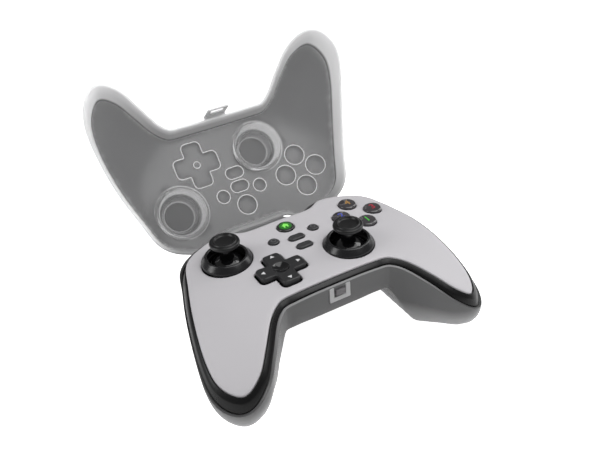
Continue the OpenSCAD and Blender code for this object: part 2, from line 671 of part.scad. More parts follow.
module gimbal_ring(c, z) at(c, z) difference() {
    union() {
        translate([0, 0, -ring_h / 2]) cylinder(r = ring_r[1], h = ring_h);
        bar_x(trunnion_r, -box[0] / 2, box[0] / 2);
    }
    translate([0, 0, -ring_h]) cylinder(r = ring_r[0], h = 2 * ring_h);
    bar_y(trunnion_r + run_gap, -box[0], box[0]);
}

// Part that rocks in the ring on two trunnions along Y.
module gimbal_core(c, z, h) at(c, z) {
    translate([0, 0, -core_h / 2]) cylinder(r = core_r, h = h);
    bar_y(trunnion_r, -ring_r[1] + 0.1, ring_r[1] - 0.1);
}

module stick_collar(c) color(c_black) place() at(c, plate_z(c)) rotate_extrude() polygon([
    [dome_r - 0.4, -0.7], [collar[0], -0.7], [collar[0], 0.7], [collar[1] + 1.4, collar[2] - 0.3],
    [collar[1] + 0.7, collar[2]], [collar[1], collar[2] - 0.4], [collar[1] + 0.4, 1.6]]);

module stick_module(c) color(c_steel) place() gimbal_box(c, stick_z(c), box_top);
module stick_yoke(c) color(c_smoke) place() gimbal_ring(c, stick_z(c));
module stick_cradle(c) color(c_steel) place() difference() {
    gimbal_core(c, stick_z(c), core_h);
    at(c, stick_z(c) - core_h) cylinder(r = stem_r + run_gap, h = 2 * core_h);
}

dome_angle = 46;
dome_t = 1.2;
socket_r = 2.6;
socket_drop = 2.2;
cap_under = cap_top - cap_t;

module stick_stem(c) color(c_black) place() at(c, stick_z(c)) rotate_extrude() polygon(concat(
    [[0, -core_h / 2 + 0.3], [stem_r, -core_h / 2 + 0.3], [stem_r, dome_r - dome_t]],
    [for (a = [6 : 8 : dome_angle]) (dome_r - dome_t) * [sin(a), cos(a)]],
    [for (a = [dome_angle : -6.5 : 20]) dome_r * [sin(a), cos(a)]],
    [[3.9, dome_r + 0.2], [3.5, stick_pivot + cap_under], [socket_r, stick_pivot + cap_under],
     [socket_r, stick_pivot + cap_top - socket_drop], [0, stick_pivot + cap_top - socket_drop]]));

// Rubber cap: a rounded outer band, a raised ring and a dished top.
cap_band = 2.8;
cap_ring = [6.45, 6, 5.45, 4.9];
cap_dish = [0.15, 0.75, 1.15, 1.45];

module stick_cap(c) color(c_rubber) place() at(c, plate_z(c)) rotate_extrude() polygon([
    [socket_r + fix_gap, cap_under], [cap_r - 1.8, cap_under], [cap_r - 0.4, cap_under + 0.6],
    [cap_r, cap_under + 1.3], [cap_r, cap_under + cap_band - 0.6], [cap_r - 0.5, cap_under + cap_band],
    [cap_r - 1.35, cap_under + cap_band], [cap_ring[0], cap_top - 0.1], [cap_ring[1], cap_top],
    [cap_ring[2], cap_top - cap_dish[0]], [cap_ring[3], cap_top - cap_dish[1]],
    [cap_ring[3] / 2, cap_top - cap_dish[2]], [0, cap_top - cap_dish[3]],
    [0, cap_top - socket_drop + fix_gap], [socket_r + fix_gap, cap_top - socket_drop + fix_gap]]);

module left_collar() stick_collar(left_stick);
module right_collar() stick_collar(right_stick);
module left_module() stick_module(left_stick);
module right_module() stick_module(right_stick);
module left_yoke() stick_yoke(left_stick);
module right_yoke() stick_yoke(right_stick);
module left_cradle() stick_cradle(left_stick);
module right_cradle() stick_cradle(right_stick);
module left_stem() stick_stem(left_stick);
module right_stem() stick_stem(right_stick);
module left_cap() stick_cap(left_stick);
module right_cap() stick_cap(right_stick);

// Cross pad

dpad_z = plate_z(dpad) - dpad_pivot;
dpad_t = 3;

module dpad_base() color(c_smoke) place() gimbal_box(dpad, dpad_z, 2.2);
module dpad_rocker() color(c_steel) place() gimbal_ring(dpad, dpad_z);
module dpad_cap() color(c_rubber) place() {
    gimbal_core(dpad, dpad_z, core_h / 2 + dpad_pivot + dpad_top - dpad_t + 0.5);
    at(dpad, plate_z(dpad) + dpad_top - dpad_t) difference() {
        linear_extrude(dpad_t) cross_2d(dpad_size[0], dpad_size[1], dpad_round);
        translate([0, 0, dpad_t + dish[1]]) sphere(r = dish[0]);
    }
}

// Buttons

key_low = -6;
flange = 0.9;
flange_gap = 0.3;
key_pin_r = pip[0] - 0.3;

module key_pin(p, travel) at(p, 0) rise(key_pin_r, pip_top + travel + 0.3, plate_z(p) + key_low + 0.5);

module key_body(p, r, top, travel) {
    at(p, plate_z(p)) difference() {
        rise(r, key_low, top);
        translate([0, 0, top - 0.25]) difference() {
            cylinder(r = r + 1, h = 1);
            cylinder(r1 = r, r2 = r - 0.8, h = 1);
        }
    }
    at(p, plate_z(p)) rise(r + flange, key_low, key_low + 1);
    key_pin(p, travel);
}

module pill_body(p) {
    at(p, plate_z(p) + key_low) linear_extrude(0.9 - key_low) pill_2d(pill[2], pill[3]);
    key_pin(p, key_travel);
}

module face_key(k) color(c_smoke) place() key_body(face_at(k), face_r, 1.8, face_travel);
module face_rear() face_key(0);
module face_right() face_key(1);
module face_front() face_key(2);
module face_left() face_key(3);
module home_button() color(c_smoke) place() key_body(home_at, home[1], 1, key_travel);
module small_left() color(c_rubber) place() key_body(small_left_at, small[2], 0.9, key_travel);
module small_right() color(c_rubber) place() key_body(small_right_at, small[2], 0.9, key_travel);
module pill_upper() color(c_rubber) place() pill_body(pill_upper_at);
module pill_lower() color(c_rubber) place() pill_body(pill_lower_at);

// Bumpers and triggers

bumper_stations = [16.5, 16.25, 16, 15.6, 15.2, 14.8, 14.5];
// Section of a bumper: distance out from the faceplate's edge, and z below its surface there.
bumper_section = [[1.7, -6.4], [-2.6, -6.4], [-2.6, -13], [2.6, -13], [3, -9], [3, -4.2], [2.4, -2.8],
    [1.8, -2.9]];

module bumper() {
    loft([for (t = bumper_stations) let (o = curve(t), n = curve_out(t))
        [for (s = bumper_section) let (p = o + n * s[0]) [p[0], p[1], plate_z(o) + s[1]]]]);
    difference() {
        union() {
            at(eye_at, bridge_z[1] + 0.3) cylinder(r = eye_r, h = bridge_z[2] - bridge_z[1] - 1);
            hull() for (p = [eye_at, curve(16.45) + curve_out(16.45) * -0.6])
                at(p, bridge_z[1] + 0.6) cylinder(r = 1.6, h = 5.6, $fn = 24);
        }
        at(eye_at, bridge_z[0]) cylinder(r = bumper_pin_r + run_gap, h = 20);
    }
}

module left_bumper() color(c_black) place() mirror([1, 0, 0]) bumper();
module right_bumper() color(c_black) place() bumper();

trigger_t = 15.15;
trigger_turn = atan2(curve_out(trigger_t)[1], curve_out(trigger_t)[0]) - 90;
trigger_half = 8.5;
trigger_pivot = [-0.6, -20];
trigger_pin_r = 1.5;
cheek = [9.2, 10.4];

module trigger_frame() at(curve(trigger_t), 0) rotate([0, 0, trigger_turn]) children();
module side_plate(x0, x1) translate([x0, 0, 0]) rotate([90, 0, 90]) linear_extrude(x1 - x0) children();

// Side of a trigger: distance out from the outline, and height.
trigger_side = [[1.8, -17.4], [2.1, -21], [1.5, -30], [-0.2, -37.8], [-1.2, -38.8], [-2.1, -37.6],
    [-1.3, -31], [-1.8, -24], [-3.2, -21.5], [-3.2, -18.5], [-1.5, -17.4]];

// Bracket from its outer to its inner face, and from its foot to its top
bracket_y = [-3.2, 1.2];
bracket_z = [-22.6, -16];
bracket_t = 0.7;

module trigger() trigger_frame() difference() {
    side_plate(-trigger_half, trigger_half) polygon(trigger_side);
    at([0, trigger_pivot[0]], trigger_pivot[1]) bar_x(trigger_pin_r + run_gap, -cheek[1], cheek[1]);
}

module trigger_bracket() trigger_frame() difference() {
    union() {
        for (x = [-cheek[1], cheek[0]]) translate([x, bracket_y[0], bracket_z[0]])
            cube([cheek[1] - cheek[0], bracket_y[1] - bracket_y[0], bracket_z[1] - bracket_z[0]]);
        translate([-cheek[1], bracket_y[0], bracket_z[1] - bracket_t])
            cube([2 * cheek[1], bracket_y[1] - bracket_y[0], bracket_t]);
    }
    at([0, trigger_pivot[0]], trigger_pivot[1]) bar_x(trigger_pin_r + fix_gap, -2 * cheek[1], 2 * cheek[1]);
}

module trigger_pin() trigger_frame()
    at([0, trigger_pivot[0]], trigger_pivot[1]) bar_x(trigger_pin_r, -cheek[1], cheek[1]);

module left_trigger() color(c_black) place() mirror([1, 0, 0]) trigger();
module right_trigger() color(c_black) place() trigger();
module left_trigger_bracket() color(c_smoke) place() mirror([1, 0, 0]) trigger_bracket();
module right_trigger_bracket() color(c_smoke) place() trigger_bracket();
module left_trigger_pin() color(c_steel) place() mirror([1, 0, 0]) trigger_pin();
module right_trigger_pin() color(c_steel) place() trigger_pin();

// Rumble motors

motor_at = [60, -28];
motor_r = 9;
motor_foot_h = 1.5;
motor_top = -23;
weight_gap = 1;
weight_h = 3.5;
weight_r = 7.5;
weight_hub_r = 2.6;
shaft_r = 1.1;
motor_seat = floor_z(motor_at, grip_rise) + floor_gap + shell_t;
motor_z = [motor_seat + motor_foot_h, motor_top];
weight_z = [motor_z[1] + weight_gap, motor_z[1] + weight_gap + weight_h];

module motor() at(motor_at, 0) difference() {
    union() {
        translate([0, 0, motor_z[0]]) cylinder(r = motor_r, h = motor_z[1] - motor_z[0]);
        rise(4, motor_seat, motor_z[0] + 1);
    }
    translate([0, 0, motor_z[1] - 6]) cylinder(r = shaft_r + run_gap, h = 10);
}

module weight() at(motor_at, 0) {
    translate([0, 0, motor_z[1] - 5]) cylinder(r = shaft_r, h = weight_z[1] - motor_z[1] + 5);
    translate([0, 0, weight_z[0]]) linear_extrude(weight_z[1] - weight_z[0]) {
        intersection() {
            circle(r = weight_r);
            translate([-weight_r - 0.5, 0]) square([2 * weight_r + 1, weight_r + 0.5]);
        }
        circle(r = weight_hub_r);
    }
}

module left_motor() color(c_steel) place() mirror([1, 0, 0]) motor();
module right_motor() color(c_steel) place() motor();
module left_weight() color(c_smoke) place() mirror([1, 0, 0]) weight();
module right_weight() color(c_smoke) place() weight();

case_tray();
case_lid();
lid_wall();
hinge_pin();
faceplate();
front_shell();
back_shell();
rear_bridge();
usb_port();
main_board();
battery();
home_light();
face_membrane();
centre_membrane();
housing_screws();
left_collar();
right_collar();
left_module();
right_module();
left_yoke();
right_yoke();
left_cradle();
right_cradle();
left_stem();
right_stem();
left_cap();
right_cap();
dpad_base();
dpad_rocker();
dpad_cap();
face_rear();
face_right();
face_front();
face_left();
home_button();
small_left();
small_right();
pill_upper();
pill_lower();
left_bumper();
right_bumper();
left_trigger();
right_trigger();
left_trigger_bracket();
right_trigger_bracket();
left_trigger_pin();
right_trigger_pin();
left_motor();
right_motor();
left_weight();
right_weight();
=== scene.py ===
"""Looks of a gamepad seated in a smoked clear hinged case, with the lid open.

Shapes are worked out in millimetres with z = 0 at the middle of the faceplate, as in the part's source,
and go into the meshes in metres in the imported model's frame.
"""

import json
import logging
import math
from collections.abc import Callable, Sequence
from dataclasses import dataclass, field
from enum import Enum
from functools import cached_property

import bpy
import numpy as np
from mathutils import Euler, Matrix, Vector
from mathutils.geometry import delaunay_2d_cdt
from numpy.typing import NDArray


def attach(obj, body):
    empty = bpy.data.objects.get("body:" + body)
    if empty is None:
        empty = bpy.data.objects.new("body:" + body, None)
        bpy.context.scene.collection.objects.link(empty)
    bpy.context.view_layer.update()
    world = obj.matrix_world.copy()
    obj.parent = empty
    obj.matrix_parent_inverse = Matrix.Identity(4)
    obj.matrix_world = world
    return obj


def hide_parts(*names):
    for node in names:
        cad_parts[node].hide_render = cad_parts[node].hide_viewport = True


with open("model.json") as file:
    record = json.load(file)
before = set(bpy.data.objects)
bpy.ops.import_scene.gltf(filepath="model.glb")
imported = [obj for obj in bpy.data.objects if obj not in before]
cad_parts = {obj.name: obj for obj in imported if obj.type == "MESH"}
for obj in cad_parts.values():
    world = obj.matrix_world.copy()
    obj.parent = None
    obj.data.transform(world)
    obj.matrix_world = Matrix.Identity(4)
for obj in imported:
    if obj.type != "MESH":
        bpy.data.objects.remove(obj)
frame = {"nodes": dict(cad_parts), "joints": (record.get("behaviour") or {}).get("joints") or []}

Floats = NDArray[np.float64]
Ints = NDArray[np.int64]
Flags = NDArray[np.bool_]
Color = tuple[float, float, float]
Pair = tuple[float, float]
Four = tuple[float, float, float, float]
Point = tuple[float, float, float]
Profile = tuple[Pair, ...]

LOG = logging.getLogger("gamepad")
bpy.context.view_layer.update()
HINGE = (47.9, -14.9)
LID_OPEN = math.radians(132.0)
MM = 0.001
ROW_STEP = 0.866
LEAST_GAP = 0.05
N_LARGE, N_MIDDLE, N_SMALL = 96, 72, 48
PITCH = 4.0
SHARP = 38.0
BARREL_ROUND = 0.5
MARK_EDGE = 0.03
GRAIN_DETAIL = 3.0
BROAD_SCALE = 45.0
BUMP_M = 0.0002


def origin() -> Floats:
    """Shift from the moulds' millimetres to the model's, read off the lid hinge's place."""
    pin = next(joint["pos_m"] for joint in frame["joints"] if joint["name"] == "lid_hinge")
    return np.array([0.0, 1000.0 * pin[1] - HINGE[0], 1000.0 * pin[2] - HINGE[1]])


ORIGIN = origin()


def smooth(t: Floats) -> Floats:
    """Rise from 0 to 1 with level ends: 3u^2 - 2u^3, where u is t held between 0 and 1."""
    u = np.clip(t, 0.0, 1.0)
    return u * u * (3.0 - 2.0 * u)


def rounded(points: Floats, radius: float, steps: int = 4, closed: bool = True) -> Floats:
    """Round every corner of a line with a parabola between the points a cut length before and after it.

    Args:
        points: Corners along axis 0; each may be a point or a whole ring of points.
        radius: Cut length at each corner, held under 0.45 of the shorter side.
        steps: Pieces that each arc is made of.
        closed: Whether the line closes on itself.

    Returns:
        The finer line, with its own ends kept if it is open.
    """
    p = np.asarray(points, float)
    back, ahead = np.roll(p, 1, 0) - p, np.roll(p, -1, 0) - p
    long_a = np.maximum(np.linalg.norm(back, axis=-1, keepdims=True), 1e-9)
    long_b = np.maximum(np.linalg.norm(ahead, axis=-1, keepdims=True), 1e-9)
    cut = np.minimum(radius, 0.45 * np.minimum(long_a, long_b))
    a, b = p + back / long_a * cut, p + ahead / long_b * cut
    s = np.linspace(0.0, 1.0, steps + 1).reshape((1, -1) + (1,) * (p.ndim - 1))
    arcs = (1 - s) ** 2 * a[:, None] + 2 * s * (1 - s) * p[:, None] + s ** 2 * b[:, None]
    line = arcs.reshape((-1,) + p.shape[1:])
    return line if closed else np.concatenate([p[:1], line[steps + 1:-(steps + 1)], p[-1:]])


def circle(centre: Sequence[float], r: float, n: int = N_MIDDLE) -> Floats:
    """Points of a circle, anticlockwise."""
    a = np.arange(n) * 2.0 * np.pi / n
    return np.column_stack([centre[0] + r * np.cos(a), centre[1] + r * np.sin(a)])


def dense(loop: Floats, step: float = 0.8) -> Floats:
    """Put more points along the long sides of a loop, evenly on each side.

    Args:
        loop: Closed loop of plan points.
        step: Longest distance left between two points.

    Returns:
        The finer loop.
    """
    side = np.roll(loop, -1, 0) - loop
    count = np.maximum(1, np.ceil(np.linalg.norm(side, axis=1) / step)).astype(int)
    i = np.repeat(np.arange(len(loop)), count)
    k = np.arange(count.sum()) - np.repeat(np.cumsum(count) - count, count)
    return loop[i] + side[i] * (k / count[i])[:, None]


def pill(centre: Sequence[float], length: float, width: float, n: int = 20) -> Floats:
    """Draw a bar with round ends: two half circles half a width in radius.

    Args:
        centre: Its middle.
        length: Whole length along X.
        width: Width along Y.
        n: Points of each half circle.

    Returns:
        Its loop, anticlockwise.
    """
    a = np.linspace(-np.pi / 2, np.pi / 2, n)
    r, x = width / 2, (length - width) / 2
    right = np.column_stack([x + r * np.cos(a), r * np.sin(a)])
    return dense(np.concatenate([right, -right])) + np.asarray(centre, float)


def turned(points: Floats, quarters: int) -> Floats:
    """Plan points turned anticlockwise about zero by quarter turns."""
    a = quarters * math.pi / 2
    return points @ np.array([[math.cos(a), math.sin(a)], [-math.sin(a), math.cos(a)]])


def cross(centre: Sequence[float], span: float, arm: float, r: float, r_in: float) -> Floats:
    """Draw an upright cross: three corners of an arm, turned to the four arms, and every corner rounded.

    Args:
        centre: Its middle.
        span: Length across two arms.
        arm: Width of an arm.
        r: Cut at the outer corners.
        r_in: Cut at the inner corners.

    Returns:
        Its loop, anticlockwise.
    """
    a, b = span / 2, arm / 2
    corners = np.concatenate([turned(np.array([[a, -b], [a, b], [b, b]]), k) for k in range(4)])
    return dense(rounded(corners, np.tile([r, r, r_in], 4)[:, None], 6)) + np.asarray(centre, float)


def inside(p: Floats, loop: Floats) -> Flags:
    """Tell which points lie in a loop: a line from such a point along +x crosses it an odd number of times.

    Args:
        p: Plan points.
        loop: Closed loop.

    Returns:
        True for each point inside.
    """
    a, b = loop, np.roll(loop, -1, 0)
    x, y = p[:, :1], p[:, 1:2]
    rise = np.where(b[:, 1] == a[:, 1], 1e-12, b[:, 1] - a[:, 1])
    hit = a[:, 0] + (y - a[:, 1]) * (b[:, 0] - a[:, 0]) / rise
    return (((a[:, 1] > y) != (b[:, 1] > y)) & (x < hit)).sum(1) % 2 == 1


def within(p: Floats, edge: Floats, holes: Sequence[Floats]) -> Flags:
    """Tell which points lie inside an edge and in none of its holes.

    Args:
        p: Plan points.
        edge: Outer loop.
        holes: Loops cut out of it.

    Returns:
        True for each point on the sheet.
    """
    keep = inside(p, edge)
    for hole in holes:
        keep &= ~inside(p, hole)
    return keep


def gap(p: Floats, loop: Floats) -> Floats:
    """Measure how far points are from the sides of a loop, each side taken between its two ends.

    Args:
        p: Plan points.
        loop: Closed loop.

    Returns:
        Distance of each point from the nearest side.
    """
    side = np.roll(loop, -1, 0) - loop
    rel = p[:, None, :2] - loop
    t = np.clip((rel * side).sum(2) / np.maximum((side * side).sum(1), 1e-12), 0.0, 1.0)
    return np.sqrt(((rel - t[..., None] * side) ** 2).sum(2).min(1))


def nearest(p: Floats, q: Floats) -> Floats:
    """Distance from each point of p to the nearest point of q, some rows at a time."""
    return np.concatenate([np.sqrt(((rows[:, None] - q) ** 2).sum(2).min(1))
                           for rows in np.array_split(p, max(1, len(p) // 400))])


def spread(loop: Floats, d: float) -> Floats:
    """Move a loop outwards along its own normals; a clockwise loop moves into the hole that it bounds.

    Args:
        loop: Closed loop of plan points.
        d: How far.

    Returns:
        The moved loop.
    """
    t = np.roll(loop, -1, 0) - np.roll(loop, 1, 0)
    n = np.column_stack([t[:, 1], -t[:, 0]]) / np.linalg.norm(t, axis=1, keepdims=True)
    return loop + n * d


def sheet(edge: Floats, holes: Sequence[Floats] = (), extra: Sequence[Floats] = (),
          pitch: float = 3.0) -> tuple[Floats, Ints]:
    """Fill a plan with triangles: the loops, the extra points that lie in it and a grid of equal triangles.

    Args:
        edge: Outer loop, anticlockwise.
        holes: Loops cut out of it.
        extra: More points, such as loops beside an edge where the surface bends.
        pitch: Grid pitch where nothing else is near.

    Returns:
        Points, with the edge first and then the holes, and triangles that face up.
    """
    loops = [edge, *holes]
    fixed = np.concatenate(loops)
    near = np.concatenate(extra) if len(extra) else np.empty((0, 2))
    near = near[within(near, edge, holes)]
    if len(near):
        near = near[nearest(near, fixed) > LEAST_GAP]
    low, high = edge.min(0), edge.max(0)
    x, y = np.meshgrid(np.arange(low[0], high[0], pitch), np.arange(low[1], high[1], ROW_STEP * pitch))
    x[1::2] += pitch / 2
    grid = np.column_stack([x.ravel(), y.ravel()])
    grid = grid[within(grid, edge, holes)]
    if len(grid):
        grid = grid[nearest(grid, np.concatenate([fixed, near])) > 0.5 * pitch]
    points = np.concatenate([fixed, near, grid])
    starts = np.cumsum([0] + [len(loop) for loop in loops])
    sides = np.concatenate([np.column_stack([np.arange(a, b), np.roll(np.arange(a, b), -1)])
                            for a, b in zip(starts, starts[1:])])
    made = delaunay_2d_cdt([Vector(p) for p in points.tolist()], sides.tolist(), [], 0, 1e-6)
    if len(made[0]) != len(points):
        LOG.warning("sheet gained or lost %d points", len(made[0]) - len(points))
        points = np.array([tuple(v) for v in made[0]])
    tri = np.array(made[2], dtype=np.int64)
    tri = tri[within(points[tri].mean(1), edge, holes)]
    a, b, c = points[tri[:, 0]], points[tri[:, 1]], points[tri[:, 2]]
    area = (b[:, 0] - a[:, 0]) * (c[:, 1] - a[:, 1]) - (b[:, 1] - a[:, 1]) * (c[:, 0] - a[:, 0])
    tri[area < 0] = tri[area < 0][:, ::-1]
    return points, tri[np.abs(area) > 1e-9]


def lift(plan: Floats, z: Floats | float) -> Floats:
    """Plan points at a height."""
    return np.column_stack([plan[:, :2], np.broadcast_to(z, len(plan))])


def swing(xyz: Floats) -> Floats:
    """Turn points of the closed lid about the hinge to where the open lid has them.

    Args:
        xyz: Points of the closed lid, in millimetres.

    Returns:
        The same points with the lid open.
    """
    y, z = xyz[:, 1] - HINGE[0], xyz[:, 2] - HINGE[1]
    c, s = math.cos(LID_OPEN), math.sin(LID_OPEN)
    return np.column_stack([xyz[:, 0], HINGE[0] + y * c + z * s, HINGE[1] - y * s + z * c])


class Slot(Enum):
    """Material slots of the record."""

    CLEAR_CASE = "clear_case"
    FACEPLATE = "faceplate"
    BLACK_SHELL = "black_shell"
    BLACK_GLOSS = "black_gloss"
    SOFT_BLACK = "soft_black"
    KEY_SMOKE = "key_smoke"
    DPAD_GREY = "dpad_grey"
    HOME_CAP = "home_cap"
    STEEL = "steel"
    INNER_PLASTIC = "inner_plastic"
    BOARD = "board"
    CELL = "cell"
    LIGHT = "light"
    MEMBRANE = "membrane"


def grain_group() -> bpy.types.NodeTree:
    """Make the shader group of moulded grain: noise on Object coordinates varies colour, gloss and relief.

    Returns:
        The group, made once. Amount is the share by which the colour and the roughness vary.
    """
    if "moulded_grain" in bpy.data.node_groups:
        return bpy.data.node_groups["moulded_grain"]
    group = bpy.data.node_groups.new("moulded_grain", "ShaderNodeTree")
    for name, kind, value in (("Color", "Color", (0.5, 0.5, 0.5, 1.0)), ("Roughness", "Float", 0.4),
                              ("Amount", "Float", 0.1), ("Scale", "Float", 1500.0), ("Relief", "Float", 0.1)):
        socket = group.interface.new_socket(name, in_out="INPUT", socket_type=f"NodeSocket{kind}")
        socket.default_value = value
    for name, kind in (("Color", "Color"), ("Roughness", "Float"), ("Normal", "Vector")):
        group.interface.new_socket(name, in_out="OUTPUT", socket_type=f"NodeSocket{kind}")
    nodes, link = group.nodes, group.links.new
    start, end = nodes.new("NodeGroupInput"), nodes.new("NodeGroupOutput")
    place = nodes.new("ShaderNodeTexCoord")
    fine, broad = nodes.new("ShaderNodeTexNoise"), nodes.new("ShaderNodeTexNoise")
    fine.inputs["Detail"].default_value = GRAIN_DETAIL
    broad.inputs["Scale"].default_value = BROAD_SCALE
    both, span = nodes.new("ShaderNodeMath"), nodes.new("ShaderNodeMath")
    both.operation, span.operation = "ADD", "MULTIPLY_ADD"
    spread_by = nodes.new("ShaderNodeMath")
    spread_by.operation = "SUBTRACT"
    spread_by.inputs[1].default_value = 1.0
    span.inputs[2].default_value = 1.0
    shade, dull = nodes.new("ShaderNodeVectorMath"), nodes.new("ShaderNodeMath")
    bump = nodes.new("ShaderNodeBump")
    shade.operation, dull.operation = "SCALE", "MULTIPLY"
    bump.inputs["Distance"].default_value = BUMP_M
    link(place.outputs["Object"], fine.inputs["Vector"])
    link(place.outputs["Object"], broad.inputs["Vector"])
    link(start.outputs["Scale"], fine.inputs["Scale"])
    link(fine.outputs["Fac"], both.inputs[0])
    link(broad.outputs["Fac"], both.inputs[1])
    link(both.outputs[0], spread_by.inputs[0])
    link(spread_by.outputs[0], span.inputs[0])
    link(start.outputs["Amount"], span.inputs[1])
    link(start.outputs["Color"], shade.inputs[0])
    link(span.outputs[0], shade.inputs["Scale"])
    link(start.outputs["Roughness"], dull.inputs[0])
    link(span.outputs[0], dull.inputs[1])
    link(fine.outputs["Fac"], bump.inputs["Height"])
    link(start.outputs["Relief"], bump.inputs["Strength"])
    link(shade.outputs[0], end.inputs["Color"])
    link(dull.outputs[0], end.inputs["Roughness"])
    link(bump.outputs["Normal"], end.inputs["Normal"])
    return group


@dataclass(frozen=True)
class Finish:
    """One surface finish: plastic, rubber, metal or clear plastic with moulded grain.

    A finish with a pale colour goes over to it where a piece's point mask "pale" is 1.
    """

    name: str
    slot: Slot
    color: Color
    rough: float = 0.4
    pale: Color | None = None
    metal: float = 0.0
    clear: float = 0.0
    ior: float = 1.45
    shine: float = 0.5
    coat: float = 0.0
    glow: float = 0.0
    amount: float = 0.08
    grain_mm: float = 0.6
    relief: float = 0.08

    def material(self) -> bpy.types.Material:
        """Make the node material, or give the one that was made before.

        Returns:
            A Principled material whose colour, roughness and normal come from the grain group.
        """
        if self.name in bpy.data.materials:
            return bpy.data.materials[self.name]
        material = bpy.data.materials.new(self.name)
        material.use_nodes = True
        nodes, link = material.node_tree.nodes, material.node_tree.links.new
        shader = nodes["Principled BSDF"]
        grain = nodes.new("ShaderNodeGroup")
        grain.node_tree = grain_group()
        for name, value in (("Color", (*self.color, 1.0)), ("Roughness", self.rough), ("Amount", self.amount),
                            ("Scale", 1000.0 / self.grain_mm), ("Relief", self.relief)):
            grain.inputs[name].default_value = value
        if self.pale is not None:
            mask, blend = nodes.new("ShaderNodeAttribute"), nodes.new("ShaderNodeMix")
            mask.attribute_name = "pale"
            blend.data_type = "RGBA"
            colors = [s for s in blend.inputs if s.type == "RGBA"]
            colors[0].default_value, colors[1].default_value = (*self.color, 1.0), (*self.pale, 1.0)
            link(mask.outputs["Fac"], blend.inputs[0])
            link(next(s for s in blend.outputs if s.type == "RGBA"), grain.inputs["Color"])
        link(grain.outputs["Color"], shader.inputs["Base Color"])
        link(grain.outputs["Roughness"], shader.inputs["Roughness"])
        link(grain.outputs["Normal"], shader.inputs["Normal"])
        for name, value in (("Metallic", self.metal), ("Transmission Weight", self.clear), ("IOR", self.ior),
                            ("Specular IOR Level", self.shine), ("Coat Weight", self.coat)):
            shader.inputs[name].default_value = value
        if self.glow:
            link(grain.outputs["Color"], shader.inputs["Emission Color"])
            shader.inputs["Emission Strength"].default_value = self.glow
        return material


class Palette:
    """The finishes of this gamepad and its case, and of the floor."""

    # the tray's pale colour paints light: the backdrop seen through its lower parts, its lit front and a
    # highlight on its top edge
    TRAY = Finish("smoked_clear_tray", Slot.CLEAR_CASE, (0.02, 0.02, 0.0205), 0.25, (0.44, 0.44, 0.445),
                  clear=0.04, shine=0.25, amount=0.03, relief=0.0)
    PANEL = Finish("smoked_clear_lid", Slot.CLEAR_CASE, (0.10, 0.10, 0.102), 0.22, (0.66, 0.66, 0.665),
                   clear=0.8, ior=1.30, shine=0.25, amount=0.02, relief=0.0)
    FROST = Finish("frosted_clear", Slot.CLEAR_CASE, (0.15, 0.15, 0.153), 0.35, (0.96, 0.96, 0.965), clear=0.15,
                   amount=0.05, relief=0.02)
    NUB = Finish("smoked_nub", Slot.CLEAR_CASE, (0.11, 0.105, 0.11), 0.3, amount=0.1)
    PLATE = Finish("matte_plate", Slot.FACEPLATE, (0.500, 0.488, 0.507), 0.55, amount=0.03, grain_mm=0.35,
                   relief=0.12)
    SHELL = Finish("satin_black", Slot.BLACK_SHELL, (0.005, 0.005, 0.0053), 0.28, shine=0.28, amount=0.12,
                   relief=0.05)
    GLOSS = Finish("gloss_black", Slot.BLACK_GLOSS, (0.004, 0.004, 0.0045), 0.12, coat=0.25, amount=0.1,
                   relief=0.01)
    COLLAR = Finish("collar_black", Slot.BLACK_GLOSS, (0.008, 0.008, 0.009), 0.26, amount=0.1, relief=0.03)
    RUBBER = Finish("stick_rubber", Slot.SOFT_BLACK, (0.0035, 0.0035, 0.0038), 0.34, amount=0.2, grain_mm=0.3,
                    relief=0.12)
    KEY = Finish("smoky_key", Slot.KEY_SMOKE, (0.040, 0.036, 0.040), 0.12, coat=0.8, amount=0.1, relief=0.01)
    SMALL = Finish("grey_key", Slot.KEY_SMOKE, (0.034, 0.034, 0.036), 0.36, amount=0.1, relief=0.05)
    CROSS = Finish("cross_grey", Slot.DPAD_GREY, (0.020, 0.020, 0.021), 0.36, amount=0.15, grain_mm=0.4,
                   relief=0.1)
    MARK = Finish("pale_mark", Slot.DPAD_GREY, (0.62, 0.62, 0.63), 0.5, amount=0.04)
    RING_MARK = Finish("ring_mark", Slot.KEY_SMOKE, (0.11, 0.11, 0.115), 0.4, amount=0.06)
    # painted light: the face button marks glow a little, though no lamp lights them; the green one the most
    AMBER = Finish("amber_mark", Slot.KEY_SMOKE, (0.34, 0.19, 0.06), 0.3, glow=0.05, amount=0.05)
    RED = Finish("red_mark", Slot.KEY_SMOKE, (0.36, 0.03, 0.05), 0.3, glow=0.05, amount=0.05)
    GREEN = Finish("green_mark", Slot.KEY_SMOKE, (0.07, 0.40, 0.06), 0.3, glow=0.15, amount=0.05)
    BLUE = Finish("blue_mark", Slot.KEY_SMOKE, (0.07, 0.09, 0.42), 0.3, glow=0.05, amount=0.05)
    HOME = Finish("lit_home", Slot.HOME_CAP, (0.015, 0.12, 0.010), 0.25, (0.010, 0.011, 0.010), coat=0.3,
                  glow=0.35, amount=0.12, relief=0.02)
    HOUSE = Finish("lit_house", Slot.HOME_CAP, (0.17, 0.56, 0.09), 0.4, glow=0.5, amount=0.03)
    STEEL = Finish("pin_steel", Slot.STEEL, (0.62, 0.62, 0.63), 0.28, metal=1.0, amount=0.1, grain_mm=0.2)
    INNER = Finish("inner_nylon", Slot.INNER_PLASTIC, (0.06, 0.06, 0.065), 0.5, amount=0.1)
    BOARD = Finish("circuit_board", Slot.BOARD, (0.02, 0.10, 0.05), 0.4, amount=0.2)
    CELL = Finish("cell_wrap", Slot.CELL, (0.35, 0.36, 0.38), 0.45, amount=0.08)
    LAMP = Finish("home_lamp", Slot.LIGHT, (0.1, 0.8, 0.2), 0.3, glow=1.5, amount=0.05)
    MEMBRANE = Finish("key_membrane", Slot.MEMBRANE, (0.2, 0.2, 0.21), 0.65, amount=0.1)
    PAPER = Finish("pale_paper", Slot.FACEPLATE, (0.80, 0.80, 0.80), 0.9, glow=1.0, amount=0.01, relief=0.0)


